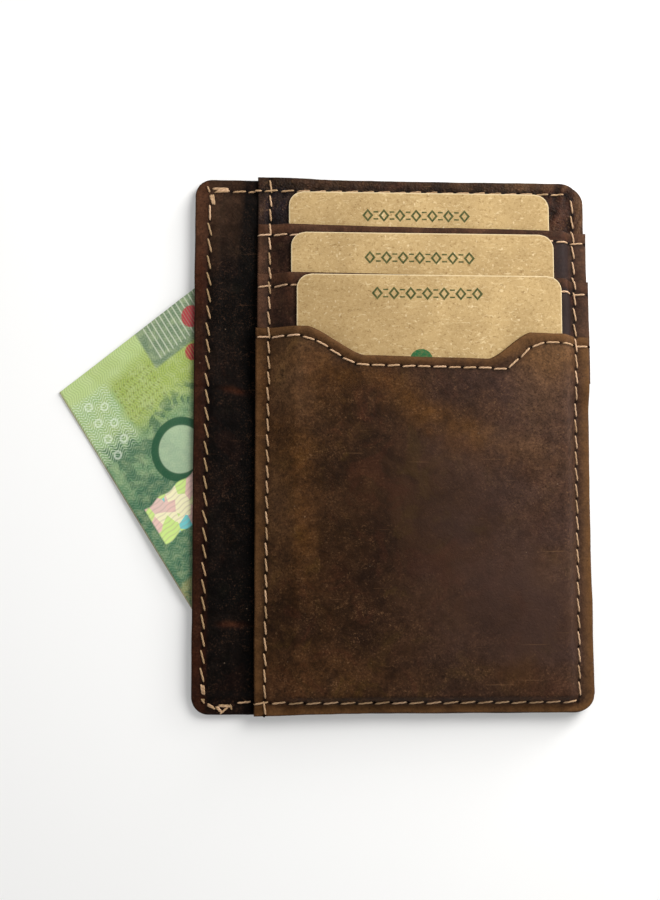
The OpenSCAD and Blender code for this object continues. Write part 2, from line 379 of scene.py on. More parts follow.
def graded(low, high, spots, fine, coarse, reach=2.2):
    """Rising values from low to high: fine apart near each spot, coarse elsewhere."""
    t = np.linspace(low, high, 4000)
    nearest = np.full_like(t, 1e9)
    for spot in spots:
        nearest = np.minimum(nearest, abs(t - spot))
    step = mix(fine, coarse, ease((nearest - 0.4 * reach) / reach))
    count = np.concatenate([[0], np.cumsum((t[1] - t[0]) / step[1:])])
    n = max(2, int(round(count[-1])))
    return np.interp(np.linspace(0, count[-1], n + 1), count, t)


# Distances from an edge of the close lines that its rounding needs
RIMS = np.array([0.015, 0.05, 0.1, 0.17, 0.26, 0.36, 0.5, 0.7])
RIM_REACH = 0.85


def with_rims(values):
    """Puts the close lines in at both ends."""
    low, high = values[0], values[-1]
    middle = values[(values > low + RIM_REACH) & (values < high - RIM_REACH)]
    return np.concatenate([[low], low + RIMS, middle, high - RIMS[::-1], [high]])


def add_layer(mesh, name, values):
    """A number for each point, which materials read by name."""
    layer = mesh.attributes.new(name, "FLOAT", "POINT")
    layer.data.foreach_set("value", np.asarray(values, np.float32).ravel())


def add_piece(name, mesh, material, body, replaces=()):
    mesh.materials.append(material)
    piece = new_object(name, mesh)
    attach(piece, body)
    if replaces:
        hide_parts(*replaces)
    return piece


def quad_mesh(name, points_mm, quads, layers):
    mesh = bpy.data.meshes.new(name)
    points = np.asarray(points_mm, np.float32) * MM
    quads = np.asarray(quads, np.int32)
    mesh.vertices.add(len(points))
    mesh.vertices.foreach_set("co", points.ravel())
    mesh.loops.add(quads.size)
    mesh.loops.foreach_set("vertex_index", quads.ravel())
    mesh.polygons.add(len(quads))
    mesh.polygons.foreach_set("loop_start", np.arange(0, quads.size, 4, dtype=np.int32))
    mesh.update(calc_edges=True)
    mesh.validate()
    mesh.polygons.foreach_set("use_smooth", np.ones(len(mesh.polygons), bool))
    for key, values in layers.items():
        add_layer(mesh, key, values)
    return mesh


def cells(g):
    """The quads of a grid of point numbers."""
    return np.stack([g[:-1, :-1], g[1:, :-1], g[1:, 1:], g[:-1, 1:]], -1).reshape(-1, 4)


def closed_grid(n, m):
    """Quads of a closed sheet: an n by m upper grid and a lower one that shares its
    border. Returns the quads and, for each upper point, the index of the lower one."""
    upper = np.arange(n * m).reshape(n, m)
    lower = upper.copy()
    inner = (n - 2) * (m - 2)
    lower[1:-1, 1:-1] = n * m + np.arange(inner).reshape(n - 2, m - 2)
    return np.concatenate([cells(upper), cells(lower)[:, ::-1]]), lower


def level(height):
    return lambda x: height + 0 * x


def corner_cut(x, edge, r=CORNER_R):
    """How far a corner of radius r cuts back an outline that ends at x = edge."""
    past = np.clip(abs(x) - (edge - r), 0, r)
    return r - np.sqrt(r * r - past * past)


class Sheet:
    """A sheet laid over a grid. low(x) and high(x) are its lower and upper edges,
    under(x, y) its underside; relief(x, y) is added to its upper face. Seams press a
    groove into the upper face, lower_seams into the underside. flare(y) is how far
    the right-hand edge stands out."""

    def __init__(self, xs, ys, low, high, under, thick, edge_r, relief=None, seams=(),
                 lower_seams=(), power=2.4, wander=0.0, seed=1, valley=0.12, flare=None):
        self.xs, self.ys, self.low, self.high = xs, ys, low, high
        self.under, self.thick, self.edge_r, self.power = under, thick, edge_r, power
        self.relief = relief or (lambda x, y: 0 * x)
        self.seams, self.lower_seams, self.valley = seams, lower_seams, valley
        self.wander, self.seed = wander, seed
        self.flare = flare or (lambda y: 0 * y)

    def top(self, x, y):
        """The upper face's height, away from the rounded edges."""
        x, y = np.asarray(x, float), np.asarray(y, float)
        sunk = self.valley * pressed(x, y, self.seams)[0]
        return self.under(x, y) + self.thick + self.relief(x, y) - sunk

    def places(self):
        """The grid's points: the rows slide to follow the curved edges."""
        x, y = np.meshgrid(self.xs, self.ys, indexing="ij")
        y0, y1 = self.ys[0], self.ys[-1]
        middle, half = (y0 + y1) / 2, (y1 - y0) / 2
        lift = self.low(x) - y0
        drop = y1 - self.high(x)
        y = y + np.where(
            y < middle, lift * (middle - y) / half, -drop * (y - middle) / half
        )
        return x, y

    def inset(self, x, y):
        """Distance inwards from the sheet's outline, near enough close to it."""
        e = 0.05
        slope_high = (self.high(x + e) - self.high(x - e)) / (2 * e)
        slope_low = (self.low(x + e) - self.low(x - e)) / (2 * e)
        sides = np.minimum(x - self.xs[0], self.xs[-1] - x)
        ends = np.minimum(
            (self.high(x) - y) / np.hypot(1, slope_high),
            (y - self.low(x)) / np.hypot(1, slope_low),
        )
        inset = np.maximum(0, np.minimum(sides, ends))
        for border in ((0, slice(None)), (-1, slice(None)), (slice(None), 0), (slice(None), -1)):
            inset[border] = 0
        return inset

    def build(self, name, material, body, slot, replaces=(), shade=None):
        x, y = self.places()
        inset = self.inset(x, y)
        cap = (1 - (1 - unit(inset / self.edge_r)) ** self.power) ** (1 / self.power)
        valley, holes = pressed(x, y, self.seams)
        middle = self.under(x, y) + self.thick / 2
        upper = middle + cap * (self.thick / 2 + self.relief(x, y) - self.valley * valley)
        below = self.valley * 2 * pressed(x, y, self.lower_seams)[0] if self.lower_seams else 0
        lower = middle - cap * (self.thick / 2 - below)
        shift = self.wander * bell(inset / 2.5)
        px = x + shift * clouds(y, 0 * y, 7, self.seed + 50, 4)
        py = y + shift * clouds(x, 0 * x + 7, 7, self.seed + 60, 4)
        px = px + self.flare(y) * ease((x - SEAM_X - 0.4) / 2)
        n, m = x.shape
        quads, lower_index = closed_grid(n, m)
        inner = (slice(1, -1), slice(1, -1))
        points = np.zeros((lower_index.max() + 1, 3))
        points[: n * m] = np.stack([px, py, upper], -1).reshape(-1, 3)
        points[lower_index[inner].ravel()] = np.stack([px, py, lower], -1)[inner].reshape(-1, 3)
        layers = {"inset": inset, "hole": holes, "valley": valley}
        layers.update(shade(x, y) if shade else {})
        attributes = {}
        for key, values in layers.items():
            spread = np.zeros(len(points))
            spread[: n * m] = values.ravel()
            spread[lower_index[inner].ravel()] = values[inner].ravel()
            attributes[key] = spread
        mesh = quad_mesh(name, points, quads, attributes)
        return add_piece(name, mesh, material, body, replaces)


# ---- materials

# The note's outer corner, and the length and heading in degrees of its sides from there
NOTE_TIP = np.array([-67.5, 10.0])
NOTE_SHORT = (60.0, 38.5)
NOTE_LONG = (68.0, -58.1)


def rgb(r, g, b):
    """A screen colour, 0 to 255, as linear light."""
    screen = np.array([r, g, b]) / 255
    linear = np.where(screen <= 0.04045, screen / 12.92, ((screen + 0.055) / 1.055) ** 2.4)
    return (*[float(v) for v in linear], 1.0)


def shadowed(colour, amount):
    return (*[v * amount for v in colour[:3]], 1.0)


class Wire:
    """A value or colour inside a material, which adds, subtracts and multiplies."""

    def __init__(self, shade, socket):
        self.shade, self.socket = shade, socket

    def __add__(self, other):
        return self.shade.math("ADD", self, other)

    def __sub__(self, other):
        return self.shade.math("SUBTRACT", self, other)

    def __mul__(self, other):
        return self.shade.math("MULTIPLY", self, other)

    def __abs__(self):
        return self.shade.math("ABSOLUTE", self)


class Shade:
    """A material being built. mm is the place on the piece, in millimetres, and base is
    its colour so far."""

    def __init__(self, name, roughness=0.5, specular=0.5):
        self.material = bpy.data.materials.new(name)
        self.material.use_nodes = True
        self.tree = self.material.node_tree
        self.shader = self.tree.nodes["Principled BSDF"]
        self.give("Roughness", roughness)
        self.give("Specular IOR Level", specular)
        self.mm = self.scaled(self.add("ShaderNodeTexCoord", {}, "Object"), 1 / MM)
        self.base = None

    def add(self, kind, inputs, output=0, **settings):
        """Adds a node and returns one of its outputs."""
        node = self.tree.nodes.new(kind)
        for key, value in settings.items():
            setattr(node, key, value)
        for key, value in inputs.items():
            self.put(node.inputs[key], value)
        return Wire(self, node.outputs[output])

    def put(self, socket, value):
        if isinstance(value, Wire):
            self.tree.links.new(value.socket, socket)
        else:
            socket.default_value = value

    def give(self, name, value):
        """Sets one of the shader's own sockets."""
        self.put(self.shader.inputs[name], value)

    def axes(self, vector):
        node = self.tree.nodes.new("ShaderNodeSeparateXYZ")
        self.put(node.inputs[0], vector)
        return [Wire(self, output) for output in node.outputs]

    def scaled(self, vector, scale):
        return self.add("ShaderNodeVectorMath", {0: vector, "Scale": scale}, operation="SCALE")

    def stretched(self, scale, turn=0.0, shift=0.0, vector=None):
        return self.add("ShaderNodeMapping", {
            "Vector": vector or self.mm, "Scale": scale,
            "Rotation": (0, 0, math.radians(turn)), "Location": (shift, shift * 1.7, 0)})

    def noise(self, size, detail=3.0, rough=0.55, distort=0.0, vector=None):
        return self.add("ShaderNodeTexNoise", {
            "Vector": vector or self.mm, "Scale": 1 / size, "Detail": detail,
            "Roughness": rough, "Distortion": distort}, "Fac")

    def cells(self, size, feature="F1", vector=None, output="Distance"):
        return self.add("ShaderNodeTexVoronoi", {"Vector": vector or self.mm, "Scale": 1 / size},
                        output, feature=feature)

    def warped(self, amount, size):
        """The place, pushed about by noise, so that cells and lines wander."""
        noise = self.add("ShaderNodeTexNoise", {"Vector": self.mm, "Scale": 1 / size}, "Color")
        push = self.add("ShaderNodeVectorMath", {0: noise, 1: (0.5, 0.5, 0.5)},
                        operation="SUBTRACT")
        return self.add("ShaderNodeVectorMath", {0: self.mm, 1: self.scaled(push, amount)},
                        operation="ADD")

    def math(self, operation, a, b=0.0):
        return self.add("ShaderNodeMath", {0: a, 1: b}, operation=operation)

    def most(self, values):
        """The greatest of several values."""
        found = values[0]
        for value in values[1:]:
            found = self.math("MAXIMUM", found, value)
        return found

    def span(self, value, low, high, to_low=0.0, to_high=1.0, kind="SMOOTHSTEP"):
        """value mapped from low..high to to_low..to_high, held at both ends."""
        return self.add("ShaderNodeMapRange", {0: value, 1: low, 2: high, 3: to_low, 4: to_high},
                        interpolation_type=kind)

    def ramp(self, value, low, high, to_low=0.0, to_high=1.0):
        """The same in a straight line."""
        return self.span(value, low, high, to_low, to_high, "LINEAR")

    def blend(self, amount, a, b, mode="MIX"):
        return self.add("ShaderNodeMix", {"Factor": amount, 6: a, 7: b}, 2,
                        data_type="RGBA", blend_type=mode)

    def paint(self, amount, colour):
        """Lays a colour over the base colour."""
        self.base = self.blend(amount, self.base, colour)

    def layer(self, name):
        return self.add("ShaderNodeAttribute", {}, "Fac", attribute_name=name)

    def finished(self, *heights):
        """Plugs in the colour and the bumps, which are (height, depth in mm) pairs."""
        self.give("Base Color", self.base)
        normal = None
        for height, depth in heights:
            inputs = {"Height": height, "Strength": 1.0, "Distance": depth * MM}
            if normal:
                inputs["Normal"] = normal
            normal = self.add("ShaderNodeBump", inputs, "Normal")
        self.give("Normal", normal)
        return self.material


def leather(name, dark, mid, warm, wear_and_highlight, red, olive, cool, cloud=11.0, grain=0.015,
            wrinkle=0.1, rim=0.6, fleck=0.5, roughness=(0.5, 0.7), gloss=0.08):
    """Oiled pull-up leather: clouded colour that drifts between red, olive and a cool
    grey-brown, warmer where the oil has moved and paler where it is rubbed, with a fine
    grain that fades where the piece's smooth layer says so. The pieces' tone and cool
    layers carry painted shadows, highlights and sheen as well as the leather's own colour."""
    s = Shade(name, specular=gloss)
    wander = s.warped(2.2, 3.0)
    big = s.noise(cloud, 6.0, 0.66, 0.8)
    hue = s.noise(cloud * 0.8, 5.0, 0.62, 1.0, s.stretched((1, 1, 1), 25, 40.0))
    small = s.noise(2.4, 5.0, 0.68, 0.4)
    fine = s.noise(0.40, 3.0, 0.65)
    grainy = s.ramp(s.layer("smooth"), 0.0, 1.0, 1.0, 0.15)
    s.base = s.blend(s.span(big, 0.36, 0.66), dark, mid)
    s.paint(s.span(hue, 0.47, 0.34, 0.0, 0.5), red)
    s.paint(s.span(hue, 0.53, 0.68, 0.0, 0.55), olive)
    # cool: a cool grey-brown, which on the front pocket is painted sheen
    s.paint(s.layer("cool") * 0.8, cool)
    s.paint(s.ramp(s.layer("warmth"), 0.0, 1.0, 0.0, 0.85), warm)
    # tone: the leather's own paler and darker patches, and also the painted shadows and highlights
    # that the pieces lay into it
    tone = s.layer("tone")
    s.paint(s.ramp(tone, 0.0, 1.0), wear_and_highlight)
    s.paint(s.ramp(tone, 0.0, -1.0), shadowed(dark, 0.3))
    finer = s.span(s.noise(1.0, 4.0, 0.72, 0.9), 0.34, 0.66, 0.7, 1.34)
    mottle = s.span(small, 0.3, 0.7, 0.72, 1.3) * finer
    s.paint(grainy * 0.9, s.blend(1.0, s.base, mottle, mode="MULTIPLY"))
    # patches of fine pale flecks, and fine dark ones
    flecked = s.span(fine, 0.53, 0.7) * s.span(small, 0.42, 0.64)
    s.paint(flecked * fleck * grainy, wear_and_highlight)
    darker = s.span(fine, 0.46, 0.28) * 0.6
    s.paint(darker * grainy, shadowed(dark, 0.5))
    # rubbed pale beyond the seams and along the edges, dark at the very edge
    edge = s.span(s.layer("inset"), 0.3, 2.5, 1.0, 0.0)
    rubbed = edge * s.span(small, 0.3, 0.62, 0.5, 1.0)
    rubbed = rubbed * s.ramp(tone, -0.4, 0.2, 0.45, 1.15)
    s.paint(rubbed * rim, s.blend(0.4, warm, wear_and_highlight))
    s.paint(s.span(s.layer("inset"), 0.0, 0.35, 0.5, 0.0), shadowed(dark, 0.6))
    # pores and the net of grain between them
    net = s.cells(0.8, "DISTANCE_TO_EDGE", wander)
    net_line = s.span(net, 0.0, 0.14, 1.0, 0.0) * grainy
    pore = s.span(s.cells(1.2, "F1"), 0.05, 0.17, 1.0, 0.0) * grainy
    s.paint(net_line * 0.22, shadowed(dark, 0.7))
    s.paint(pore * 0.5, shadowed(dark, 0.5))
    # patches of crinkles whose pale crests are a painted highlight, and dark specks
    pitted = s.span(s.noise(8.0, 3.0, 0.6), 0.46, 0.6) * grainy
    ridge = abs(s.noise(1.1, 4.0, 0.7, 1.6) - 0.5)
    crest = s.span(ridge, 0.0, 0.022, 1.0, 0.0) * s.span(fine, 0.42, 0.58)
    s.paint(crest * pitted * 0.34, wear_and_highlight)
    sunk = s.span(s.cells(2.0, "F1", wander), 0.07, 0.15, 1.0, 0.0) * pitted
    s.paint(sunk * 0.6, shadowed(dark, 0.5))
    # hairline scratches in three directions, and stray pale specks
    scratches = []
    for turn, shift in ((22, 0.0), (78, 13.0), (-38, 29.0)):
        line = s.noise(1.0, 1.5, 0.5, 0.0, s.stretched((0.055, 2.3, 1), turn, shift))
        line = s.span(line, 0.70, 0.77)
        gate = s.span(s.noise(7.0, 2.0, 0.5, 0, s.stretched((1, 1, 1), 0, shift + 5)), 0.52, 0.64)
        scratches.append(line * gate)
    scratch = s.most(scratches)
    speck = s.span(s.cells(2.6, "F1", s.stretched((1, 1, 1), 0, 3.0)), 0.03, 0.07, 1.0, 0.0)
    speck = speck * s.span(s.noise(5.0), 0.5, 0.65)
    s.paint(scratch * 0.3, wear_and_highlight)
    s.paint(speck * 0.4, rgb(130, 110, 90))
    # painted shade: darker in the seams' valleys and nearly black in the needle holes
    s.paint(s.layer("valley") * 0.25, shadowed(dark, 0.7))
    s.paint(s.span(s.layer("hole"), 0.35, 0.95, 0.0, 0.82), shadowed(dark, 0.12))
    s.give("Roughness", s.span(small + scratch * 0.3, 0.25, 0.8, roughness[0], roughness[1]))
    return s.finished(
        (s.noise(2.2, 4.0, 0.6, 0.8), wrinkle), (s.span(net, 0.0, 0.3) * 0.8 - pore, grain),
        (fine, grain * 0.9), (scratch, -0.015))


def kraft():
    """Uncoated kraft board: crossing fibres, flecks and a slight mottle."""
    s = Shade("kraft_board", roughness=0.88, specular=0.1)
    wander = s.warped(1.2, 1.2)
    s.base = s.blend(s.span(s.noise(9.0, 4.0, 0.6), 0.3, 0.7), rgb(165, 139, 96),
                     rgb(181, 154, 108))
    grain = s.noise(0.6, 4.0, 0.75, 0.5)
    s.paint(s.span(grain, 0.3, 0.48, 0.7, 0.0), rgb(128, 99, 60))
    s.paint(s.span(grain, 0.54, 0.72, 0.0, 0.6), rgb(208, 184, 140))
    fibre = s.most([s.noise(0.5, 2.0, 0.55, 0.2, s.stretched((0.22, 1.0, 1), turn, shift, wander))
                    for turn, shift in ((12, 0.0), (64, 7.0), (118, 17.0), (155, 23.0))])
    s.paint(s.span(fibre, 0.63, 0.76, 0.0, 0.6), rgb(214, 192, 150))
    shade = s.most([s.noise(0.5, 2.0, 0.55, 0.3, s.stretched((0.3, 1.0, 1), turn, shift, wander))
                    for turn, shift in ((35, 3.0), (88, 11.0), (140, 31.0))])
    s.paint(s.span(shade, 0.65, 0.76, 0.0, 0.55), rgb(112, 84, 46))
    speck = s.span(s.cells(1.1, "F1", wander), 0.06, 0.16, 1.0, 0.0)
    s.paint(speck * 0.45, rgb(104, 76, 44))
    pale = s.span(s.cells(1.4, "F1", s.stretched((1, 0.6, 1), 20, 21.0)), 0.06, 0.15, 1.0, 0.0)
    s.paint(pale * 0.45, rgb(226, 206, 168))
    # tone: on the cards, painted shade towards the left and a darker patch low on the foremost
    # card
    s.paint(s.layer("tone") * 0.5, rgb(104, 80, 46))
    edge = s.span(s.layer("inset"), 0.05, 0.35, 1.0, 0.0)
    s.paint(edge * 0.7, rgb(216, 198, 162))
    return s.finished((fibre, 0.02), (grain, 0.02))


def cloth(name, colour, thread=0.28):
    """Plain weave: threads over and under, at thread mm apart."""
    s = Shade(name, roughness=0.82, specular=0.25)
    turns = math.pi / thread
    x, y, _ = s.axes(s.mm)
    weave = s.math("SINE", x * turns) * s.math("SINE", y * turns)
    pale = (*[min(1, v * 1.9) for v in colour[:3]], 1)
    s.base = s.blend(s.span(weave, -0.6, 0.8), colour, pale)
    s.paint(s.span(s.noise(6.0), 0.3, 0.7, 0.0, 0.35), colour)
    return s.finished((weave, 0.04))


def thread_material():
    """Waxed two-ply thread, with painted shade between its plies and where it dives into a hole.
    """
    s = Shade("waxed_thread", roughness=0.6, specular=0.3)
    s.base = s.blend(s.span(s.noise(3.0, 3.0), 0.3, 0.7), rgb(162, 130, 96), rgb(190, 156, 120))
    tint = s.layer("tint")
    s.paint(s.ramp(tint, 0.0, 1.0), rgb(214, 178, 146))
    s.paint(s.ramp(tint, 0.0, -1.0, 0.0, 0.9), rgb(124, 104, 66))
    # painted shade: in the groove between the plies, and nearly black where the stitch sinks into
    # its hole
    s.paint(s.span(s.layer("groove"), 0.0, 1.0, 0.0, 0.5), rgb(104, 70, 42))
    s.paint(s.layer("sunk"), rgb(14, 7, 3))
    s.give("Specular IOR Level", s.span(s.layer("sunk"), 0.2, 0.8, 0.25, 0.0))
    return s.finished((s.noise(0.12, 2.0), 0.03))


def ink(name, colour):
    s = Shade(name, roughness=0.7, specular=0.2)
    worn_through = s.span(s.noise(0.5, 3.0, 0.6), 0.35, 0.7, 0.0, 0.45)
    s.give("Base Color", s.blend(worn_through, colour, rgb(120, 112, 66)))
    return s.material


def note_paper():
    """A generic banknote: pale bands, fine waved lines, rings, checks, a hoop, two seals
    and a metallic strip. u and v are the distances in mm from its two outer sides."""
    s = Shade("note_paper", roughness=0.5, specular=0.35)
    place_x, place_y, _ = s.axes(s.mm)
    x, y = place_x - NOTE_TIP[0], place_y - NOTE_TIP[1]
    across_long, across_short = math.radians(-NOTE_LONG[1]), math.radians(NOTE_SHORT[1])

    def from_edge(nx, ny):
        return x * nx + y * ny

    v = from_edge(math.sin(across_long), math.cos(across_long))
    u = from_edge(math.sin(across_short), -math.cos(across_short))
    push = (s.noise(9.0, 3.0) - 0.5) * 5.0
    vw, uw = v + push, u - push

    def wave(run, over, pitch, swing, swing_pitch, width):
        """Thin lines at the given pitch, each swinging from side to side."""
        sway = s.math("SINE", run * (2 * math.pi / swing_pitch)) * swing
        phase = (over + sway) * (2 * math.pi / pitch)
        return s.span(s.math("SINE", phase), 1 - width, 1.0)

    def reach_from(cu, cv):
        du, dv = u - cu, v - cv
        return s.math("SQRT", du * du + dv * dv)

    s.base = s.blend(s.span(vw, 8.5, 10.5), rgb(150, 178, 124), rgb(150, 168, 78))
    s.base = s.blend(s.span(uw, 3.0, 6.0), rgb(176, 196, 128), s.base)
    s.paint(s.span(s.noise(7.0, 4.0, 0.6), 0.42, 0.62, 0.0, 0.45), rgb(168, 184, 108))
    s.paint(s.span(uw, 13.0, 19.0, 0.0, 0.9), rgb(96, 134, 98))
    s.paint(s.span(uw, 20.0, 30.0), rgb(58, 104, 76))
    s.paint(s.span(u, 45.5, 46.5), rgb(128, 130, 84))
    leaf = s.span(s.noise(5.0, 5.0, 0.7, 1.5), 0.5, 0.53) * s.span(u, 12.0, 16.0)
    s.paint(leaf * 0.7, rgb(42, 86, 64))
    block = s.ramp(v, 19.0, 19.5) * s.ramp(u, 8.5, 8.0)
    s.paint(block, rgb(104, 124, 96))
    s.paint(s.span(s.noise(1.6, 4.0, 0.6), 0.4, 0.7, 0.0, 0.3), rgb(190, 202, 150))
    band = s.span(vw, 9.5, 8.5) * (s.span(uw, 3.0, 5.0) * s.span(uw, 20.0, 15.0))
    s.paint(wave(v, u, 0.62, 0.4, 2.3, 1.0) * s.span(band, 0, 1, 0.1, 0.62), rgb(216, 228, 204))
    s.paint(wave(u, v, 0.55, 0.3, 3.1, 0.9) * 0.35, rgb(84, 116, 70))
    # pale bars in the block at the top
    bars = wave(u, v, 1.05, 0.0, 5.0, 0.6) * (s.span(v, 20.8, 21.3) * s.span(u, 7.4, 6.9))
    s.paint(bars * 0.7, rgb(196, 202, 180))
    # small rings down the pale band
    for k in range(7):
        reach = reach_from(6.0 + 1.9 * k, 4.8 + (1.5 if k % 2 else -1.3))
        ring = s.span(reach, 0.4, 0.6) * s.span(reach, 1.0, 0.8)
        s.paint(ring * 0.4, rgb(228, 236, 220))
    # a hoop, and a patch of small checks
    checks = wave(u, v, 1.05, 0.1, 4.0, 1.1) * wave(v, u, 1.3, 0.1, 4.0, 1.1)
    area = s.span(abs(u - 10.0), 4.6, 4.2) * s.span(abs(v - 14.0), 5.0, 4.6)
    s.paint(checks * area * 0.6, rgb(106, 112, 48))
    reach = reach_from(24.4, 14.9)
    s.paint(s.span(reach, 5.2, 4.6, 0.0, 0.6), rgb(176, 196, 164))
    hoop = s.span(reach, 4.5, 4.8) * s.span(reach, 6.4, 6.1)
    s.paint(hoop * 0.92, rgb(24, 76, 48))
    # red seals by the top edge
    for cu, cv, size in ((4.1, 31.0, 2.3), (10.1, 27.4, 1.8)):
        reach = reach_from(cu, cv)
        seal = s.span(reach, size, size - 0.3)
        hatch = s.span(wave(u, v, 0.55, 0.0, 5.0, 0.9), 0, 1, 1.0, 0.55)
        s.paint(seal * hatch, rgb(166, 52, 60))
    s.paint(s.span(v, 0.35, 0.1, 0.0, 0.5), rgb(196, 170, 140))
    # plain metallic strip with rainbow sheen
    us = u + s.math("SINE", v * 1.3) * 0.25
    strip = s.ramp(us, 29.4, 29.7) * s.ramp(us, 37.9, 37.6) * s.ramp(v, 2.2, 2.5)
    hue = s.cells(2.1, "F1", s.stretched((1, 0.7, 1), 38), output="Color")
    red, green, blue = s.axes(hue)
    sheen = s.blend(s.span(red, 0.30, 0.34), rgb(206, 216, 236), rgb(244, 238, 196))
    sheen = s.blend(s.span(green, 0.52, 0.56), sheen, rgb(232, 196, 184))
    sheen = s.blend(s.span(blue, 0.74, 0.78), sheen, rgb(206, 232, 140))
    sheen = s.blend(s.span(red, 0.90, 0.93), sheen, rgb(120, 206, 208))
    sheen = s.blend(wave(v, u, 0.9, 0.1, 3.0, 0.8) * 0.3, sheen, rgb(170, 150, 140))
    s.paint(strip, sheen)
    s.give("Metallic", strip * 0.1)
    s.give("Roughness", s.span(strip, 0, 1, 0.55, 0.3))
    return s.finished((s.noise(0.3, 2.0), 0.01), (s.noise(12.0, 2.0), 0.25))


# by the record's slot
PANEL_MATERIALS = {
    "leather_front": leather(
        "leather_front", dark=rgb(34, 20, 11), mid=rgb(58, 37, 22), warm=rgb(80, 50, 17),
        wear_and_highlight=rgb(118, 86, 58), red=rgb(60, 32, 20), olive=rgb(62, 45, 18), cool=rgb(60, 43, 37),
        fleck=0.55, rim=0.9, gloss=0.05),
    "leather_strip": leather(
        "leather_strip", dark=rgb(32, 18, 12), mid=rgb(52, 31, 22), warm=rgb(72, 42, 22),
        wear_and_highlight=rgb(112, 82, 62), red=rgb(60, 30, 22), olive=rgb(44, 32, 20), cool=rgb(42, 34, 34),
        cloud=7.0, rim=0.35, fleck=0.5, gloss=0.07),
    "leather_base": leather(
        "leather_base", dark=rgb(18, 11, 8), mid=rgb(44, 28, 20), warm=rgb(66, 38, 26),
        wear_and_highlight=rgb(112, 84, 58), red=rgb(54, 28, 22), olive=rgb(38, 32, 19), cool=rgb(26, 21, 26),
        cloud=5.0, grain=0.07, wrinkle=0.4, rim=0.35, fleck=0.7, gloss=0.07),
    "leather_dark": leather(
        "leather_dark", dark=rgb(7, 5, 4), mid=rgb(18, 12, 9), warm=rgb(76, 36, 18),
        wear_and_highlight=rgb(100, 70, 50), red=rgb(26, 12, 8), olive=rgb(18, 16, 10), cool=rgb(14, 12, 14),
        cloud=9.0, rim=0.05, fleck=0.35, roughness=(0.4, 0.6), gloss=0.05),
    "lining": cloth("lining_cloth", rgb(48, 40, 34)),
}
KRAFT = kraft()
THREAD = thread_material()
INK = ink("olive_ink", rgb(50, 60, 24))
GREEN_INK = ink("green_ink", rgb(18, 88, 48))
NOTE_PAPER = note_paper()

# ---- leather pieces


def panel_low(x):
    return 0.15 - HALF_H + corner_cut(x, HALF_W)


def panel_high(x):
    """The top right corner is worn rounder than the others."""
    return HALF_H - np.where(x > 0, corner_cut(x, HALF_W, WORN_CORNER_R), corner_cut(x, HALF_W))


def stack_low(x):
    """The stack's foot hangs out a little at its left."""
    return (0.35 - HALF_H - 0.45 * bell((x - STACK_X) / 9)
            + np.where(x > 0, corner_cut(x, HALF_W), 0))


def stack_high(x):
    return (HALF_H + 0.5 * bell((x - STACK_X) / 9)
            - np.where(x > 0, corner_cut(x, HALF_W, WORN_CORNER_R), 0))


def panel_columns(fine=0.3, coarse=0.8):
    return with_rims(graded(-HALF_W, HALF_W, [-HALF_W, -SEAM_X, -35.2, HALF_W, SEAM_X], fine,
                            coarse))


def panel_rows(fine=0.3, coarse=0.8, spots=()):
    spots = [-HALF_H, -SEAM_Y, SEAM_Y, HALF_H, *spots]
    return with_rims(graded(-HALF_H, HALF_H, spots, fine, coarse))


def stack_columns(x0, x1, spots=(), fine=0.25, coarse=0.6):
    spots = [x0, STACK_SEAM_X, x1, SEAM_X, *spots]
    return with_rims(graded(x0, x1, spots, fine, coarse))


def flat_area(sheet):
    """The sheet's area as cut, in square metres."""
    x = np.linspace(sheet.xs[0], sheet.xs[-1], 400)
    height = sheet.high(x) - sheet.low(x)
    return float(np.mean(height) * (x[-1] - x[0])) * MM * MM


def lay(sheet, node, slot, shade=None, kind="leather"):
    piece = sheet.build(f"{node}_{kind}", PANEL_MATERIALS[slot], "wallet", slot, [node], shade)
    size = (sheet.xs[-1] - sheet.xs[0], sheet.ys[-1] - sheet.ys[0])
    size[0] * MM
    size[1] * MM
    min(flat_area(sheet), size[0] * size[1] * MM * MM)


CREASES = ((10.3, -0.12), (-36.9, 0.03))


def crease_line(x, y, at, slope):
    return y - at - slope * (x + 33) - 0.35 * lumps(x, 0 * y, 2.6, 91)


def middle_relief(x, y):
    """The turned hem's ridge, and two creases across the strip."""
    hem = 0.03 * (1 - ease((x + 35.4) / 0.8))
    crease = 0
    for at, slope in CREASES:
        line = crease_line(x, y, at, slope)
        crease = crease + 0.08 * bell(line / 0.35) - 0.04 * bell((line - 0.8) / 0.45)
    return hem - crease + 0.04 * clouds(x, y, 9, 21)


def back_shade(x, y):
    return {"tone": 0.35 * clouds(x, y, 16, 12), "warmth": unit(0.3 * clouds(x, y, 9, 17))}


def middle_shade(x, y):
    """Brown at its top and beyond the seam, nearly black by the stack in a painted shadow
    that stands for the stack's own, with a rusty thread of rubbed leather along each crease."""
    top = ease((y - 22) / 28)
    # the last term is the painted shadow of the stack, weaker towards the top
    tone = (-0.12 + 0.12 * clouds(x, y, 14, 31) + 0.40 * top
            + 0.06 * ease((-34.6 - x) / 0.8) - (0.9 - 0.6 * top) * ease((x + 31.8) / 3.6))
    rusty = 0
    for at, slope in CREASES:
        line = crease_line(x, y, at, slope)
        inner = ease((x + 36.5) / 4) * (0.6 + 0.4 * lumps(x, y, 1.3, 95))
        rusty = rusty + 0.8 * inner * bell(line / 0.45)
        tone = tone + 0.2 * inner * bell((line - 0.3) / 0.9)
    outer = ease((-SEAM_X - x + 0.7) / 1.0)
    warmth = 0.75 * rusty + outer * (0.30 + 0.12 * clouds(x, y, 5, 33) + 0.15 * top)
    return {"tone": tone, "warmth": unit(warmth), "smooth": 0.25 + 0 * x}


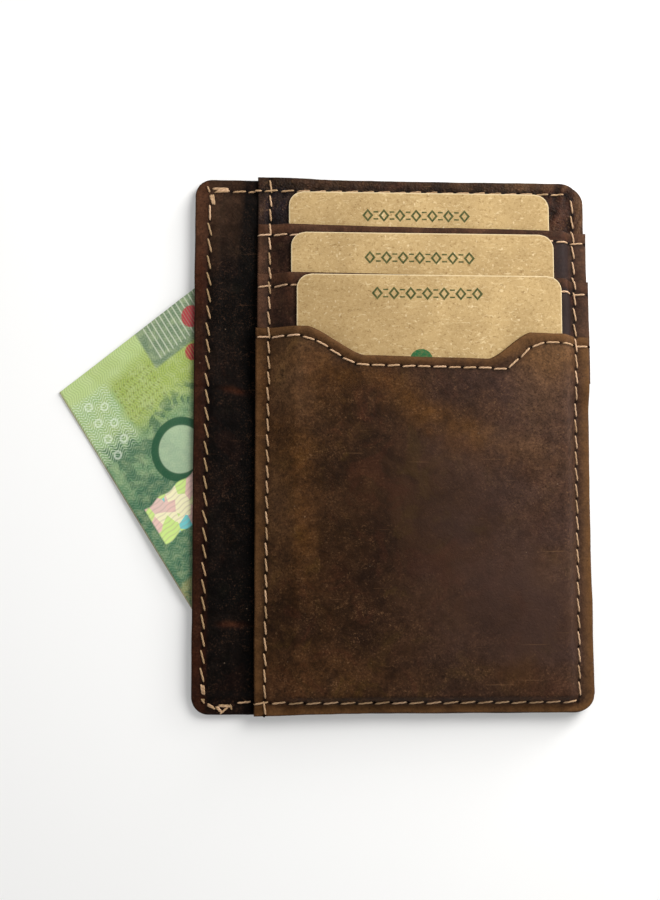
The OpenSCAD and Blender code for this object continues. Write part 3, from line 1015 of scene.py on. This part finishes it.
back = Sheet(panel_columns(), panel_rows(), panel_low, panel_high,
             lambda x, y: 0 * x, BACK_T, 0.42, seed=3, wander=0.05,
             lower_seams=[LEFT_SEAM, STACK_SEAM, TOP_SEAM, RIGHT_SEAM, BOTTOM_SEAM])
lay(back, "back_panel", "leather_dark", back_shade)

middle = Sheet(panel_columns(), panel_rows(0.3, 0.8, [at for at, _ in CREASES]), panel_low,
               panel_high, middle_under, MIDDLE_T, 0.45, middle_relief,
               [LEFT_SEAM, TOP_SEAM, BOTTOM_SEAM], seed=5, wander=0.06)
lay(middle, "middle_panel", "leather_dark", middle_shade)


def base_folds(x, y):
    """Wrinkles that slant up to the right, sharp-edged and about 1.3 mm apart."""
    u = x * math.cos(0.5) - y * math.sin(0.5) + 0.5 * lumps(x, y, 4, 44)
    v = x * math.sin(0.5) + y * math.cos(0.5)
    return 1 - 2.2 * abs(lumps(u / 1.3, v / 6, 1.0, 45))


def base_relief(x, y):
    """Heavy pebbled grain, drawn into slanting wrinkles at the right and at the left."""
    wrinkled = np.maximum(ease((x - 30) / 4), 0.7 * ease((-20 - x) / 2))
    wrinkled = np.maximum(wrinkled * ease((SEAM_Y - y) / 1.2), 0.5 * ease((x - 5) / 20))
    knots = 0.08 * clouds(x, y, 1.5, 43, 3)
    pulled = (0.16 * base_folds(x, y) * wrinkled + knots) * ease((y - MOUTH_1 + 2) / 2)
    return pulled + 0.04 * clouds(x, y, 7, 41)


def base_shade(x, y):
    folds = base_folds(x, y)
    right, left = ease((x - 30) / 4), ease((-20 - x) / 2)
    band = ease((y - SEAM_Y - 0.3) / 0.8)
    # tone follows the folds: painted highlights on the wrinkles' ridges and painted shade between
    # them, at the right, the left and along the top band
    tone = (-0.12 + 0.3 * clouds(x, y, 5, 42) + right * (0.32 * folds - 0.12)
            + left * (0.16 * folds - 0.12) + 0.35 * ease((x - SEAM_X - 0.4) / 1.0)
            + band * ease((x - 5) / 20) * (0.14 + 0.2 * folds)
            - 0.3 * left * ease((MOUTH_1 + 4 - y) / 3))
    return {"tone": tone, "warmth": unit(right * (0.5 + 0.3 * folds)),
            "cool": left * (1 - band) * (0.75 + 0.25 * folds)}


base = Sheet(stack_columns(STACK_X, HALF_W, [30], coarse=0.5),
             with_rims(graded(-HALF_H, HALF_H, [-HALF_H, HALF_H, SEAM_Y, 49, 46], 0.22, 2.0)),
             stack_low, stack_high, base_under, BASE_T, 0.3, base_relief,
             [STACK_SEAM, TOP_SEAM, RIGHT_SEAM], seed=7, wander=0.09,
             flare=lambda y: 0.25 * ease((y + 54) / 30))
lay(base, "stack_base", "leather_base", base_shade)


def strip_rows(mouth):
    return with_rims(graded(BAND_FOOT, mouth, [mouth, mouth - 2.5], 0.22, 0.6))


def strip_relief(seed):
    """Kept low over the cards, so that the next card clears it."""
    return lambda x, y: (0.06 * clouds(x, y, 6, seed)
                         * (1 - 0.8 * across(x, 3.0)) - 0.02)


def strip_shade(seed, mouth):
    """Paler on its folded lip, a painted highlight where the fold catches the light, and at its
    ends; cool and smooth by the cards' right.
    """
    def shade(x, y):
        lip = ease((y - mouth(x) + 2.3) / 0.6)
        ends = ease((-23 - x) / 2.5) + ease((x - 36) / 2)
        # the lip's paler tone and warmth are the painted highlight on the fold
        tone = (-0.05 + 0.2 * clouds(x, y, 9, seed) + 0.2 * ends
                + lip * (0.05 + 0.15 * clouds(x, y, 4, seed + 3)))
        beside = ease((x - 33) / 1.5) * ease((37.6 - x) / 1) * (1 - lip)
        return {"tone": tone, "warmth": unit(0.25 * clouds(x, y, 7, seed + 9) + 0.3 * lip),
                "cool": beside, "smooth": beside}
    return shade


def slot_strip(k, x0, x1, mouth, under, hem, flare):
    top = (MOUTH_1, MOUTH_2)[k]
    sheet = Sheet(stack_columns(x0, x1), strip_rows(top), level(BAND_FOOT), mouth, under,
                  STRIP_T, 0.34, strip_relief(51 + 10 * k), [STACK_SEAM, hem, RIGHT_SEAM],
                  power=2, seed=9 + 2 * k, wander=0.08, flare=level(flare))
    lay(sheet, f"slot_strip_{k + 1}", "leather_strip", strip_shade(52 + 10 * k, mouth))
    return sheet


strip_1 = slot_strip(0, STACK_X, HALF_W + 0.2, mouth_1, strip_1_under, HEM_1, 0.35)
strip_2 = slot_strip(1, STACK_X - 0.1, HALF_W + 0.25, mouth_2, strip_2_under, HEM_2, 0.45)


def front_relief(x, y):
    below = front_edge(x) - y
    lip = 0.08 * bell((below - 0.9) / 0.5)
    return 0.09 * clouds(x, y, 17, 71) + 0.02 * clouds(x, y, 4, 75) + lip


def spot(x, y, at, size, turn=0.0):
    """A soft-edged patch: 1 at its middle, wavering outwards."""
    c, s = math.cos(math.radians(turn)), math.sin(math.radians(turn))
    u, v = (x - at[0]) * c + (y - at[1]) * s, (y - at[1]) * c - (x - at[0]) * s
    reach = np.hypot(u / size[0], v / size[1]) * (1 + 0.25 * clouds(x, y, 7, int(at[0]) + 300))
    return bell(reach)


def with_spots(value, x, y, spots):
    for at, size, turn, amount in spots:
        value = value + amount * spot(x, y, at, size, turn)
    return value


# Soft patches on the front pocket: (place, size, turn in degrees, amount)
# Among the pale patches, the slanting ones at (7, 3) and (22, 0) are a painted highlight, and the
# one at (-23, -18) is painted light on the slope up from the stack's seam.
PALE_AND_DARK = (
    ((-2, -14), (6, 16), 0, -0.28), ((-7, -31), (10, 9), 0, -0.2), ((-22, 3), (3, 3), 0, -0.1),
    ((7, 3), (8, 3), -28, 0.04), ((31, 14), (6, 9), 0, 0.24), ((-19, -39), (7, 6), 0, -0.18),
    ((27, -38), (8, 4), 0, -0.08), ((-21, 14), (4, 6), 0, 0.24), ((22, 0), (7, 2), -15, 0.18),
    ((-14, -13), (4, 7), 0, -0.3), ((11, -10), (6, 4), 0, -0.24), ((18, -17), (13, 9), 0, -0.18),
    ((12, -33), (20, 6), 0, -0.1), ((-14, 11), (3, 3), 0, -0.1), ((-23, -18), (3, 9), 0, 0.14),
    ((29, -7), (6, 5), 0, 0.12), ((33, 19), (4, 3), 0, 0.3),
)
# The slanting warm patches at (9, 4) and (20, -1) are the same painted highlight, in amber.
WARM = (
    ((9, 4), (11, 3), -30, 0.7), ((-20, -5), (4.5, 19), 0, 0.5), ((-15, 14), (8, 3), 0, 0.45),
    ((32, 18), (5, 4), 0, 0.7), ((-18, -48), (8, 4), 0, 0.3), ((24, -47), (8, 3), 0, 0.25),
    ((20, -1), (6, 2), -20, 0.25), ((-18, -27), (8, 8), 0, 0.12),
)
SMOOTH = (
    ((12, -22), (13, 15), 0, 0.9), ((2, -8), (7, 8), 0, 0.7), ((28, -37), (9, 8), 0, 0.8),
)


def front_shade(x, y):
    """Patches, some of them painted light, a dark rim at its left and foot, and a cool grey middle
    at its right, which is painted sheen.
    """
    left_rim, foot_rim = ease((STACK_X + 2.4 - x) / 0.8), ease((2.4 - HALF_H - y) / 0.8)
    tone = with_spots(0.04 + 0.14 * clouds(x, y, 20, 81), x, y, PALE_AND_DARK)
    tone = tone - 0.3 * left_rim + 0.12 * ease((x - HALF_W + 2.6) / 0.8)
    warmth = with_spots(0.05 + 0.3 * foot_rim + 0.35 * left_rim, x, y, WARM)
    smooth = with_spots(0, x, y, SMOOTH)
    # painted sheen: greyer towards the right, standing for the haze that the light from the upper
    # right leaves
    cool = ease((x + 8) / 30) * (1 - 0.5 * ease((-43 - y) / 4)) * (1 - 0.7 * ease((y - 12) / 6))
    return {"tone": tone, "warmth": unit(warmth * (0.8 + 0.6 * clouds(x, y, 5, 83))),
            "smooth": unit(smooth), "cool": unit(cool * (0.9 + 0.3 * clouds(x, y, 6, 87)))}


NOTCH_SPOTS = [*np.linspace(*NOTCH_LEFT, 5), *np.linspace(*NOTCH_RIGHT[::-1], 4)]
front_rows = with_rims(graded(-HALF_H, SHOULDER,
                              [-HALF_H, -SEAM_Y, FLOOR_Y[2], SHOULDER, SHOULDER - 2],
                              0.22, 0.6))
front_columns = stack_columns(STACK_X - FRONT_OVERHANG, HALF_W + 0.1, NOTCH_SPOTS)
front = Sheet(front_columns, front_rows, stack_low, front_edge, front_under,
              FRONT_T, 0.4, front_relief,
              [STACK_SEAM, HEM_FRONT, RIGHT_SEAM, BOTTOM_SEAM], power=2.1, seed=13, wander=0.08,
              flare=lambda y: 0.2 * ease((y + 20) / 30) + 0.1 * ease((-25 - y) / 10))
lay(front, "front_pocket", "leather_front", front_shade)

# ---- linings


def slot_lining(k, mouth):
    low = FLOOR_Y[k] - FLOOR_RISE - 1.5
    high = mouth(0) - 1.2
    xs = with_rims(graded(FIELD_X0, FIELD_X1, [FIELD_X1], 0.3, 2))
    ys = with_rims(graded(low, high, [FLOOR_Y[k]], 0.3, 2))
    sheet = Sheet(xs, ys, level(low), lambda x: mouth(x) - 1.2,
                  lambda x, y: mix(base_top(x, y), ceiling(k, y), above_floor(k, y)),
                  LINING_T, 0.09)
    lay(sheet, f"slot_lining_{k + 1}", "lining", kind="cloth")


slot_lining(0, mouth_1)
slot_lining(1, mouth_2)


def cash_lining(side):
    node = f"{side}_lining"
    low, high = box_mm(node)
    xs = with_rims(graded(low[0], high[0], [], 1, 3))
    ys = with_rims(graded(low[1], high[1], [], 1, 3))
    sheet = Sheet(xs, ys, level(low[1]), level(high[1]), lambda x, y: low[2] + 0 * x,
                  high[2] - low[2], 0.07)
    lay(sheet, node, "lining", kind="cloth")


cash_lining("back")
cash_lining("middle")

# ---- thread


def topmost(x, y):
    """The outermost leather's upper face at a point."""
    x, y = np.asarray(x, float), np.asarray(y, float)
    stack = x >= STACK_X - FRONT_OVERHANG
    z = np.where(stack, base.top(x, y), middle.top(x, y))
    z = np.where(stack & (y <= mouth_1(x)), strip_1.top(x, y), z)
    z = np.where(stack & (y <= mouth_2(x)), strip_2.top(x, y), z)
    return np.where(stack & (y <= front_edge(x)), front.top(x, y), z)


# A stitch dives this deep into its holes, over this share of its length, and bows up
DIVE, DIVE_SHARE, BOW = 0.34, 0.16, 0.05
HOLE_HALF_L, HOLE_HALF_W = 0.30, 0.25


def strand(a, b, side=1, height=topmost, radius=THREAD_R, slant=-0.2, rings=15, around=10,
           tint=0.0):
    """One stitch from hole a to hole b: two plies twisted together, which come up out
    of one hole and go down into the next. side is -1 on the wallet's underside."""
    t = np.linspace(0, 1, rings)
    run = b - a
    aside = np.array([-run[1], run[0]]) / np.linalg.norm(run)
    lean = slant * (1 - 2 * t)
    x = mix(a[0], b[0], t) + aside[0] * lean
    y = mix(a[1], b[1], t) + aside[1] * lean
    z = height(x, y)
    proud = ease(np.minimum(t, 1 - t) / DIVE_SHARE)
    z = z + side * (-DIVE + (DIVE + radius * 0.45) * proud + BOW * np.sin(np.pi * t))
    centre = np.stack([x, y, z], -1)
    ahead = np.gradient(centre, axis=0)
    ahead /= np.linalg.norm(ahead, axis=1)[:, None]
    wide = np.cross(ahead, [0, 0, 1.0])
    wide /= np.linalg.norm(wide, axis=1)[:, None]
    up = np.cross(wide, ahead)
    angle = np.linspace(0, 2 * np.pi, around, endpoint=False)
    twist = t[:, None] * 2 * np.pi * 1.4
    lobes = np.abs(np.cos(angle[None, :] - twist))
    r = radius * (0.78 + 0.26 * lobes) * (0.72 + 0.28 * proud[:, None])
    ring = (np.cos(angle)[None, :, None] * wide[:, None, :]
            + np.sin(angle)[None, :, None] * up[:, None, :])
    points = centre[:, None, :] + r[..., None] * ring
    grid = np.arange(rings * around).reshape(rings, around)
    turn = np.roll(grid, -1, axis=1)
    faces = np.stack([grid[:-1], turn[:-1], turn[1:], grid[1:]], -1).reshape(-1, 4).tolist()
    first, last = rings * around, rings * around + 1
    faces += [[first, turn[0, j], grid[0, j]] for j in range(around)]
    faces += [[last, grid[-1, j], turn[-1, j]] for j in range(around)]
    points = np.concatenate([points.reshape(-1, 3), centre[[0, -1]]])
    # groove and sunk carry the thread's painted shade: between the plies, and where the stitch
    # dives into its hole
    return {
        "points": points, "faces": faces,
        "groove": np.concatenate([(1 - lobes).ravel(), [1, 1]]),
        "sunk": np.concatenate([np.repeat(1 - proud, around), [1, 1]]) * 0.6,
        "tint": np.full(len(points), tint),
    }


def needle_hole(at, run, side=1, height=topmost):
    """Painted shade at a hole's mouth: a small dark oval lens, lying along the seam."""
    ahead = run / np.linalg.norm(run)
    aside = np.array([-ahead[1], ahead[0]])
    angle = np.linspace(0, 2 * np.pi, 12, endpoint=False)
    u, v = HOLE_HALF_L * np.cos(angle), HOLE_HALF_W * np.sin(angle)
    x = at[0] + u * ahead[0] + v * aside[0]
    y = at[1] + u * ahead[1] + v * aside[1]
    rim_z = height(x, y)
    middle_z = height(at[0], at[1])
    top = np.stack([x, y, rim_z - side * 0.05], -1)
    points = np.concatenate([
        top, [[at[0], at[1], middle_z + side * 0.035], [at[0], at[1], middle_z - side * 0.2]]])
    n = len(angle)
    faces = [[j, (j + 1) % n, n] for j in range(n)] + [[(j + 1) % n, j, n + 1] for j in range(n)]
    if side < 0:
        faces = [f[::-1] for f in faces]
    one = np.ones(len(points))
    return {"points": points, "faces": faces, "groove": one, "sunk": one, "tint": 0 * one}


def sewn(name, nodes, parts):
    """Joins strands and needle holes into one piece."""
    points, faces, layers, start = [], [], {"groove": [], "sunk": [], "tint": []}, 0
    for part in parts:
        points.append(part["points"])
        faces += [[i + start for i in face] for face in part["faces"]]
        for key, values in layers.items():
            values.append(part[key])
        start += len(part["points"])
    mesh = bpy.data.meshes.new(name)
    mesh.from_pydata((np.concatenate(points) * MM).tolist(), [], faces)
    mesh.polygons.foreach_set("use_smooth", np.ones(len(mesh.polygons), bool))
    for key, values in layers.items():
        add_layer(mesh, key, np.concatenate(values))
    add_piece(name, mesh, THREAD, "wallet", nodes)


def seam_parts(holes, seed, tint=0.0, holed=True, **options):
    rng = np.random.default_rng(seed)
    found = []
    for a, b in zip(holes[:-1], holes[1:]):
        gap = (b - a) * 0.045
        jitter = rng.normal(0, 0.045, (2, 2))
        found.append(strand(a + gap + jitter[0], b - gap + jitter[1],
                            tint=tint + rng.normal(0, 0.16), **options))
    if holed:
        spots = {k: options[k] for k in ("side", "height") if k in options}
        for a, b in zip(holes[:-1], holes[1:]):
            found.append(needle_hole(b + rng.normal(0, 0.04, 2), b - a, **spots))
    return found


sewn("left_edge_stitches", ["left_edge_thread"], seam_parts(LEFT_SEAM, 101, -0.5, slant=-0.42))
sewn("stack_edge_stitches", ["stack_edge_thread"], seam_parts(STACK_SEAM, 102, 0.0, slant=-0.22))
sewn("perimeter_stitches", ["perimeter_thread"],
     seam_parts(TOP_SEAM, 103, -0.2, slant=-0.14)
     + seam_parts(RIGHT_SEAM, 104, 0.2, slant=-0.28)
     + seam_parts(BOTTOM_SEAM, 105, 0.0, slant=-0.2))
sewn("strip_1_hem_stitches", ["strip_1_hem_thread"],
     seam_parts(HEM_1, 106, 0.5, height=strip_1.top, slant=-0.14))
sewn("strip_2_hem_stitches", ["strip_2_hem_thread"],
     seam_parts(HEM_2, 107, 0.5, height=strip_2.top, slant=-0.14))
sewn("front_hem_stitches", ["front_hem_thread"],
     seam_parts(HEM_FRONT, 108, 0.2, height=front.top, slant=-0.08))


def on_base(x, y):
    return 0 * np.asarray(x, float) + BASE_FIELD + LINING_T


for k in range(2):
    y = FLOOR_Y[k] - FLOOR_RISE - 0.8
    holes = evenly((FIELD_X0 + 1, y), (FIELD_X1 - 1, y))
    sewn(f"slot_floor_{k + 1}_stitches", [f"slot_floor_thread_{k + 1}"],
         seam_parts(holes, 111 + k, holed=False, height=on_base))


BOBBIN_GROOVE = 0.24


def under_back(x, y):
    """The floor of the groove that the bobbin thread lies in."""
    return 0 * np.asarray(x, float) + BOBBIN_GROOVE


for title, seam, seed in (("left", LEFT_SEAM, 131), ("stack", STACK_SEAM[1:-1], 132),
                          ("top", TOP_SEAM, 133), ("right", RIGHT_SEAM, 134),
                          ("bottom", BOTTOM_SEAM, 135)):
    sewn(f"back_{title}_stitches", [],
         seam_parts(seam, seed, holed=False, side=-1, height=under_back, slant=0.05,
                    radius=0.17))


def tack_parts(bars, seed):
    """Locking stitches at one end of the cash pocket's mouth. Each bar is a bundle of
    strands from one place to another: (from, to, strands, spread in mm, tint)."""
    rng = np.random.default_rng(seed)
    found = []
    for a, b, count, spread, tint in bars:
        a, b = np.array(a), np.array(b)
        aside = np.array([a[1] - b[1], b[0] - a[0]]) / np.linalg.norm(b - a)
        for k in range(count):
            off = aside * spread * ((k + 0.5) / count - 0.5)
            ahead = (b - a) / np.linalg.norm(b - a)
            start = a + off + 0.22 * rng.normal() * ahead
            end = b + 0.75 * off + 0.22 * rng.normal() * ahead
            found.append(strand(start, end, slant=0.05 * rng.normal(),
                                tint=tint + rng.normal(0, 0.35)))
    return found


TOP_TACK = (
    ((-36.5, 52.3), (-33.2, 52.5), 5, 1.0, 0.35), ((-36.95, 51.6), (-36.45, 48.95), 4, 0.75, 0.1),
    ((-37.75, 53.0), (-37.25, 51.8), 1, 0, 0.2), ((-37.2, 49.1), (-37.25, 46.0), 1, 0, 0.0),
)
BOTTOM_TACK = (
    ((-38.0, -48.8), (-37.75, -50.6), 3, 0.7, 0.0), ((-38.0, -51.3), (-37.6, -52.3), 2, 0.5, -0.3),
    ((-36.85, -52.6), (-35.6, -53.2), 2, 0.5, -0.1), ((-35.3, -52.8), (-34.2, -54.1), 2, 0.5, 0.2),
    ((-34.2, -54.1), (-32.9, -53.0), 1, 0, 0.1), ((-34.8, -52.7), (-32.1, -52.9), 2, 0.35, 0.2),
    ((-32.5, -52.6), (-32.2, -53.4), 1, 0, -0.3),
)
sewn("corner_tack_top_stitches", ["corner_tack_top"], tack_parts(TOP_TACK, 121))
sewn("corner_tack_bottom_stitches", ["corner_tack_bottom"], tack_parts(BOTTOM_TACK, 122))

# ---- cards


def card_sheet(k):
    lo, hi = CARD_LO[k], CARD_HI[k]
    x_mid, half = (lo[0] + hi[0]) / 2, (hi[0] - lo[0]) / 2

    def cut(x):
        return corner_cut(x - x_mid, half, CARD_R)

    return Sheet(
        with_rims(graded(lo[0], hi[0], [lo[0], hi[0]], 0.3, 1.6)),
        with_rims(graded(lo[1], hi[1], [lo[1], hi[1]], 0.3, 1.6)),
        lambda x: lo[1] + cut(x), lambda x: hi[1] - cut(x),
        lambda x, y: card_under(k, y), CARD_T, 0.1,
        lambda x, y: 0.01 * clouds(x, y, 20, 200 + k, 2),
    )


def card_shade(k):
    """Painted shade: duller towards the left, where the light falls off. Duller still low on the
    foremost card.
    """
    def shade(x, y):
        painted_falloff = 0.16 * ease((2 - x) / 16) * ease((y - 10) / 12)
        return {"tone": painted_falloff + (k == 2) * 0.55 * bell(np.hypot((x + 15) / 11, (y - 20) / 9))}
    return shade


CARDS = [card_sheet(k) for k in range(3)]
CARD_BODIES = ["first_card", "second_card", "third_card"]
INK_T = 0.02


def ink_ring(outline, width):
    """A closed stroke of ink along an outline: its outer and inner loops."""
    outline = np.array(outline, float)
    middle = outline.mean(0)
    reach = np.linalg.norm(outline - middle, axis=1)[:, None]
    inner = middle + (outline - middle) * (1 - width / reach)
    return outline, inner


def ink_piece(name, k, strokes, fills, material):
    """Printed marks on card k: strokes are (outer, inner) loops, fills are outlines."""
    points, faces = [], []

    def add(loop, lift):
        x, y = loop[:, 0], loop[:, 1]
        start = sum(len(p) for p in points)
        points.append(np.stack([x, y, CARDS[k].top(x, y) + lift], -1))
        return start

    for outer, inner in strokes:
        n = len(outer)
        a, b = add(outer, -0.01), add(outer, INK_T)
        c, d = add(inner, -0.01), add(inner, INK_T)
        for j in range(n):
            i = (j + 1) % n
            faces += [[p + j, p + i, q + i, q + j] for p, q in ((a, b), (d, c), (b, d), (c, a))]
    for outline in fills:
        n = len(outline)
        a, b = add(outline, -0.01), add(outline, INK_T)
        faces += [[b + j for j in range(n)], [a + j for j in reversed(range(n))]]
        faces += [[a + j, a + (j + 1) % n, b + (j + 1) % n, b + j] for j in range(n)]
    mesh = bpy.data.meshes.new(name)
    mesh.from_pydata((np.concatenate(points) * MM).tolist(), [], faces)
    add_piece(name, mesh, material, CARD_BODIES[k])


def lozenge_row(x0, x1, y, half_h=1.35):
    """A plain printer's border: lozenge outlines with a pair of dashes between them."""
    strokes, fills = [], []
    count = 7
    pitch = (x1 - x0) / count
    for j in range(count):
        x = x0 + (j + 0.5) * pitch
        w = pitch * 0.34
        diamond = [(x - w, y), (x, y - half_h), (x + w, y), (x, y + half_h)]
        strokes.append(ink_ring(diamond, 0.55))
        if j < count - 1:
            for lift in (-0.55, 0.55):
                xm, ym, hw, hh = x + pitch / 2, y + lift * half_h, pitch * 0.15, 0.15
                fills.append(np.array([(xm - hw, ym - hh), (xm + hw, ym - hh),
                                       (xm + hw, ym + hh), (xm - hw, ym + hh)]))
    return strokes, fills


# Each card's row of marks: where it starts and ends, and its height
MARKS = ((-6.4, 17.0, 46.9), (-6.2, 17.6, 37.5), (-4.9, 18.9, 29.7))
for k in range(3):
    CARDS[k].build(f"card_{k + 1}_board", KRAFT, CARD_BODIES[k], "kraft_card",
                   [f"card_{k + 1}"], card_shade(k))
    ink_piece(f"card_{k + 1}_border_print", k, *lozenge_row(*MARKS[k]), INK)

turn = np.linspace(0, 2 * np.pi, 48, endpoint=False)
DISC_AT, DISC_R = (5.7, 16.0), 2.35
disc = np.stack([DISC_AT[0] + DISC_R * np.cos(turn), DISC_AT[1] + DISC_R * np.sin(turn)], 1)
ink_piece("card_3_disc_print", 2, [], [disc], GREEN_INK)

# ---- note

NOTE_LO, NOTE_HI = box_mm("cash_note")
NOTE_LEAF_T = 0.09
# Past the wallet's edge the note ripples, and sags to the table within a short run
NOTE_HELD, NOTE_RIPPLE, NOTE_SAG, NOTE_SAG_RUN = 0.6, 0.10, 1.12, 22


def heading(length, degrees):
    return length * np.array([math.cos(math.radians(degrees)), math.sin(math.radians(degrees))])


def build_note():
    """A banknote folded once: two leaves joined by the fold along its short side. Out
    past the wallet's edge it sags towards the table."""
    short, long = heading(*NOTE_SHORT), heading(*NOTE_LONG)
    down = graded(0, NOTE_LONG[0], [0], 0.25, 1.2) / NOTE_LONG[0]
    over = graded(0, NOTE_SHORT[0], [0, NOTE_SHORT[0]], 0.5, 1.5) / NOTE_SHORT[0]
    z_low, z_high = NOTE_LO[2], NOTE_HI[2]
    fold_r = (z_high - z_low) / 2
    bend = np.linspace(np.pi / 2, -np.pi / 2, 9)[1:-1]
    # each station: place along the long side, heights of the outer and the inner skin, and
    # how far out round the fold it is
    inner_r = fold_r - NOTE_LEAF_T
    upper = [(t, z_high, z_high - NOTE_LEAF_T, 0.0) for t in down[::-1]]
    middle_z = (z_high + z_low) / 2
    turned = [(-math.cos(a) / NOTE_LONG[0], middle_z + fold_r * math.sin(a),
               middle_z + inner_r * math.sin(a), math.cos(a)) for a in bend]
    lower = [(t, z_low, z_low + NOTE_LEAF_T, 0.0) for t in down]
    unit_long = long / NOTE_LONG[0]
    skins = [[], []]
    for t, outer_z, inner_z, out in upper + turned + lower:
        for skin, z, r in ((0, outer_z, fold_r), (1, inner_z, inner_r)):
            base_xy = NOTE_TIP + max(t, 0) * long - unit_long * out * r * (t < 0 or out > 0)
            xy = base_xy[None, :] + over[:, None] * short[None, :]
            skins[skin].append(np.column_stack([xy, np.full(len(over), z)]))
    skins = [np.array(s) for s in skins]
    for skin in skins:
        x, y = skin[..., 0], skin[..., 1]
        past = np.maximum(0, -HALF_W - NOTE_HELD - x)
        ripple = NOTE_RIPPLE * clouds(x, y, 16, 401, 2) * ease(past / 5)
        sag = NOTE_SAG * ease(past / NOTE_SAG_RUN)
        skin[..., 2] += ripple - sag
    n, m = skins[0].shape[:2]
    points = np.concatenate([s.reshape(-1, 3) for s in skins])
    a = np.arange(n * m).reshape(n, m)
    b = a + n * m

    def wall(p, q):
        return np.stack([p[:-1], p[1:], q[1:], q[:-1]], -1)

    quads = np.concatenate([
        cells(a), cells(b)[:, ::-1], wall(a[:, 0], b[:, 0])[:, ::-1], wall(a[:, -1], b[:, -1]),
        wall(a[0], b[0]), wall(a[-1], b[-1])[:, ::-1],
    ])
    inset = np.minimum(over, 1 - over)[None, :] * NOTE_SHORT[0] + np.zeros((n, 1))
    mesh = quad_mesh("cash_note_paper", points, quads, {"inset": np.tile(inset.ravel(), 2)})
    piece = add_piece("cash_note_paper", mesh, NOTE_PAPER, "note", ["cash_note"])


build_note()

# ---- table

FLOOR_HALF = 3000
FLOOR_COLOUR = (0.72, 0.72, 0.715, 1)
# A little light of its own keeps the shadows on the floor pale
FLOOR_GLOW, FLOOR_GLOW_COLOUR = 0.17, (1, 1, 0.99, 1)


def add_floor():
    size = FLOOR_HALF * MM
    mesh = bpy.data.meshes.new("floor")
    corners = [(-size, -size, 0), (size, -size, 0), (size, size, 0), (-size, size, 0)]
    mesh.from_pydata(corners, [], [(0, 1, 2, 3)])
    s = Shade("floor_white", roughness=0.6, specular=0.2)
    s.give("Base Color", FLOOR_COLOUR)
    s.give("Emission Color", FLOOR_GLOW_COLOUR)
    s.give("Emission Strength", FLOOR_GLOW)
    mesh.materials.append(s.material)
    new_object("floor", mesh)


add_floor()
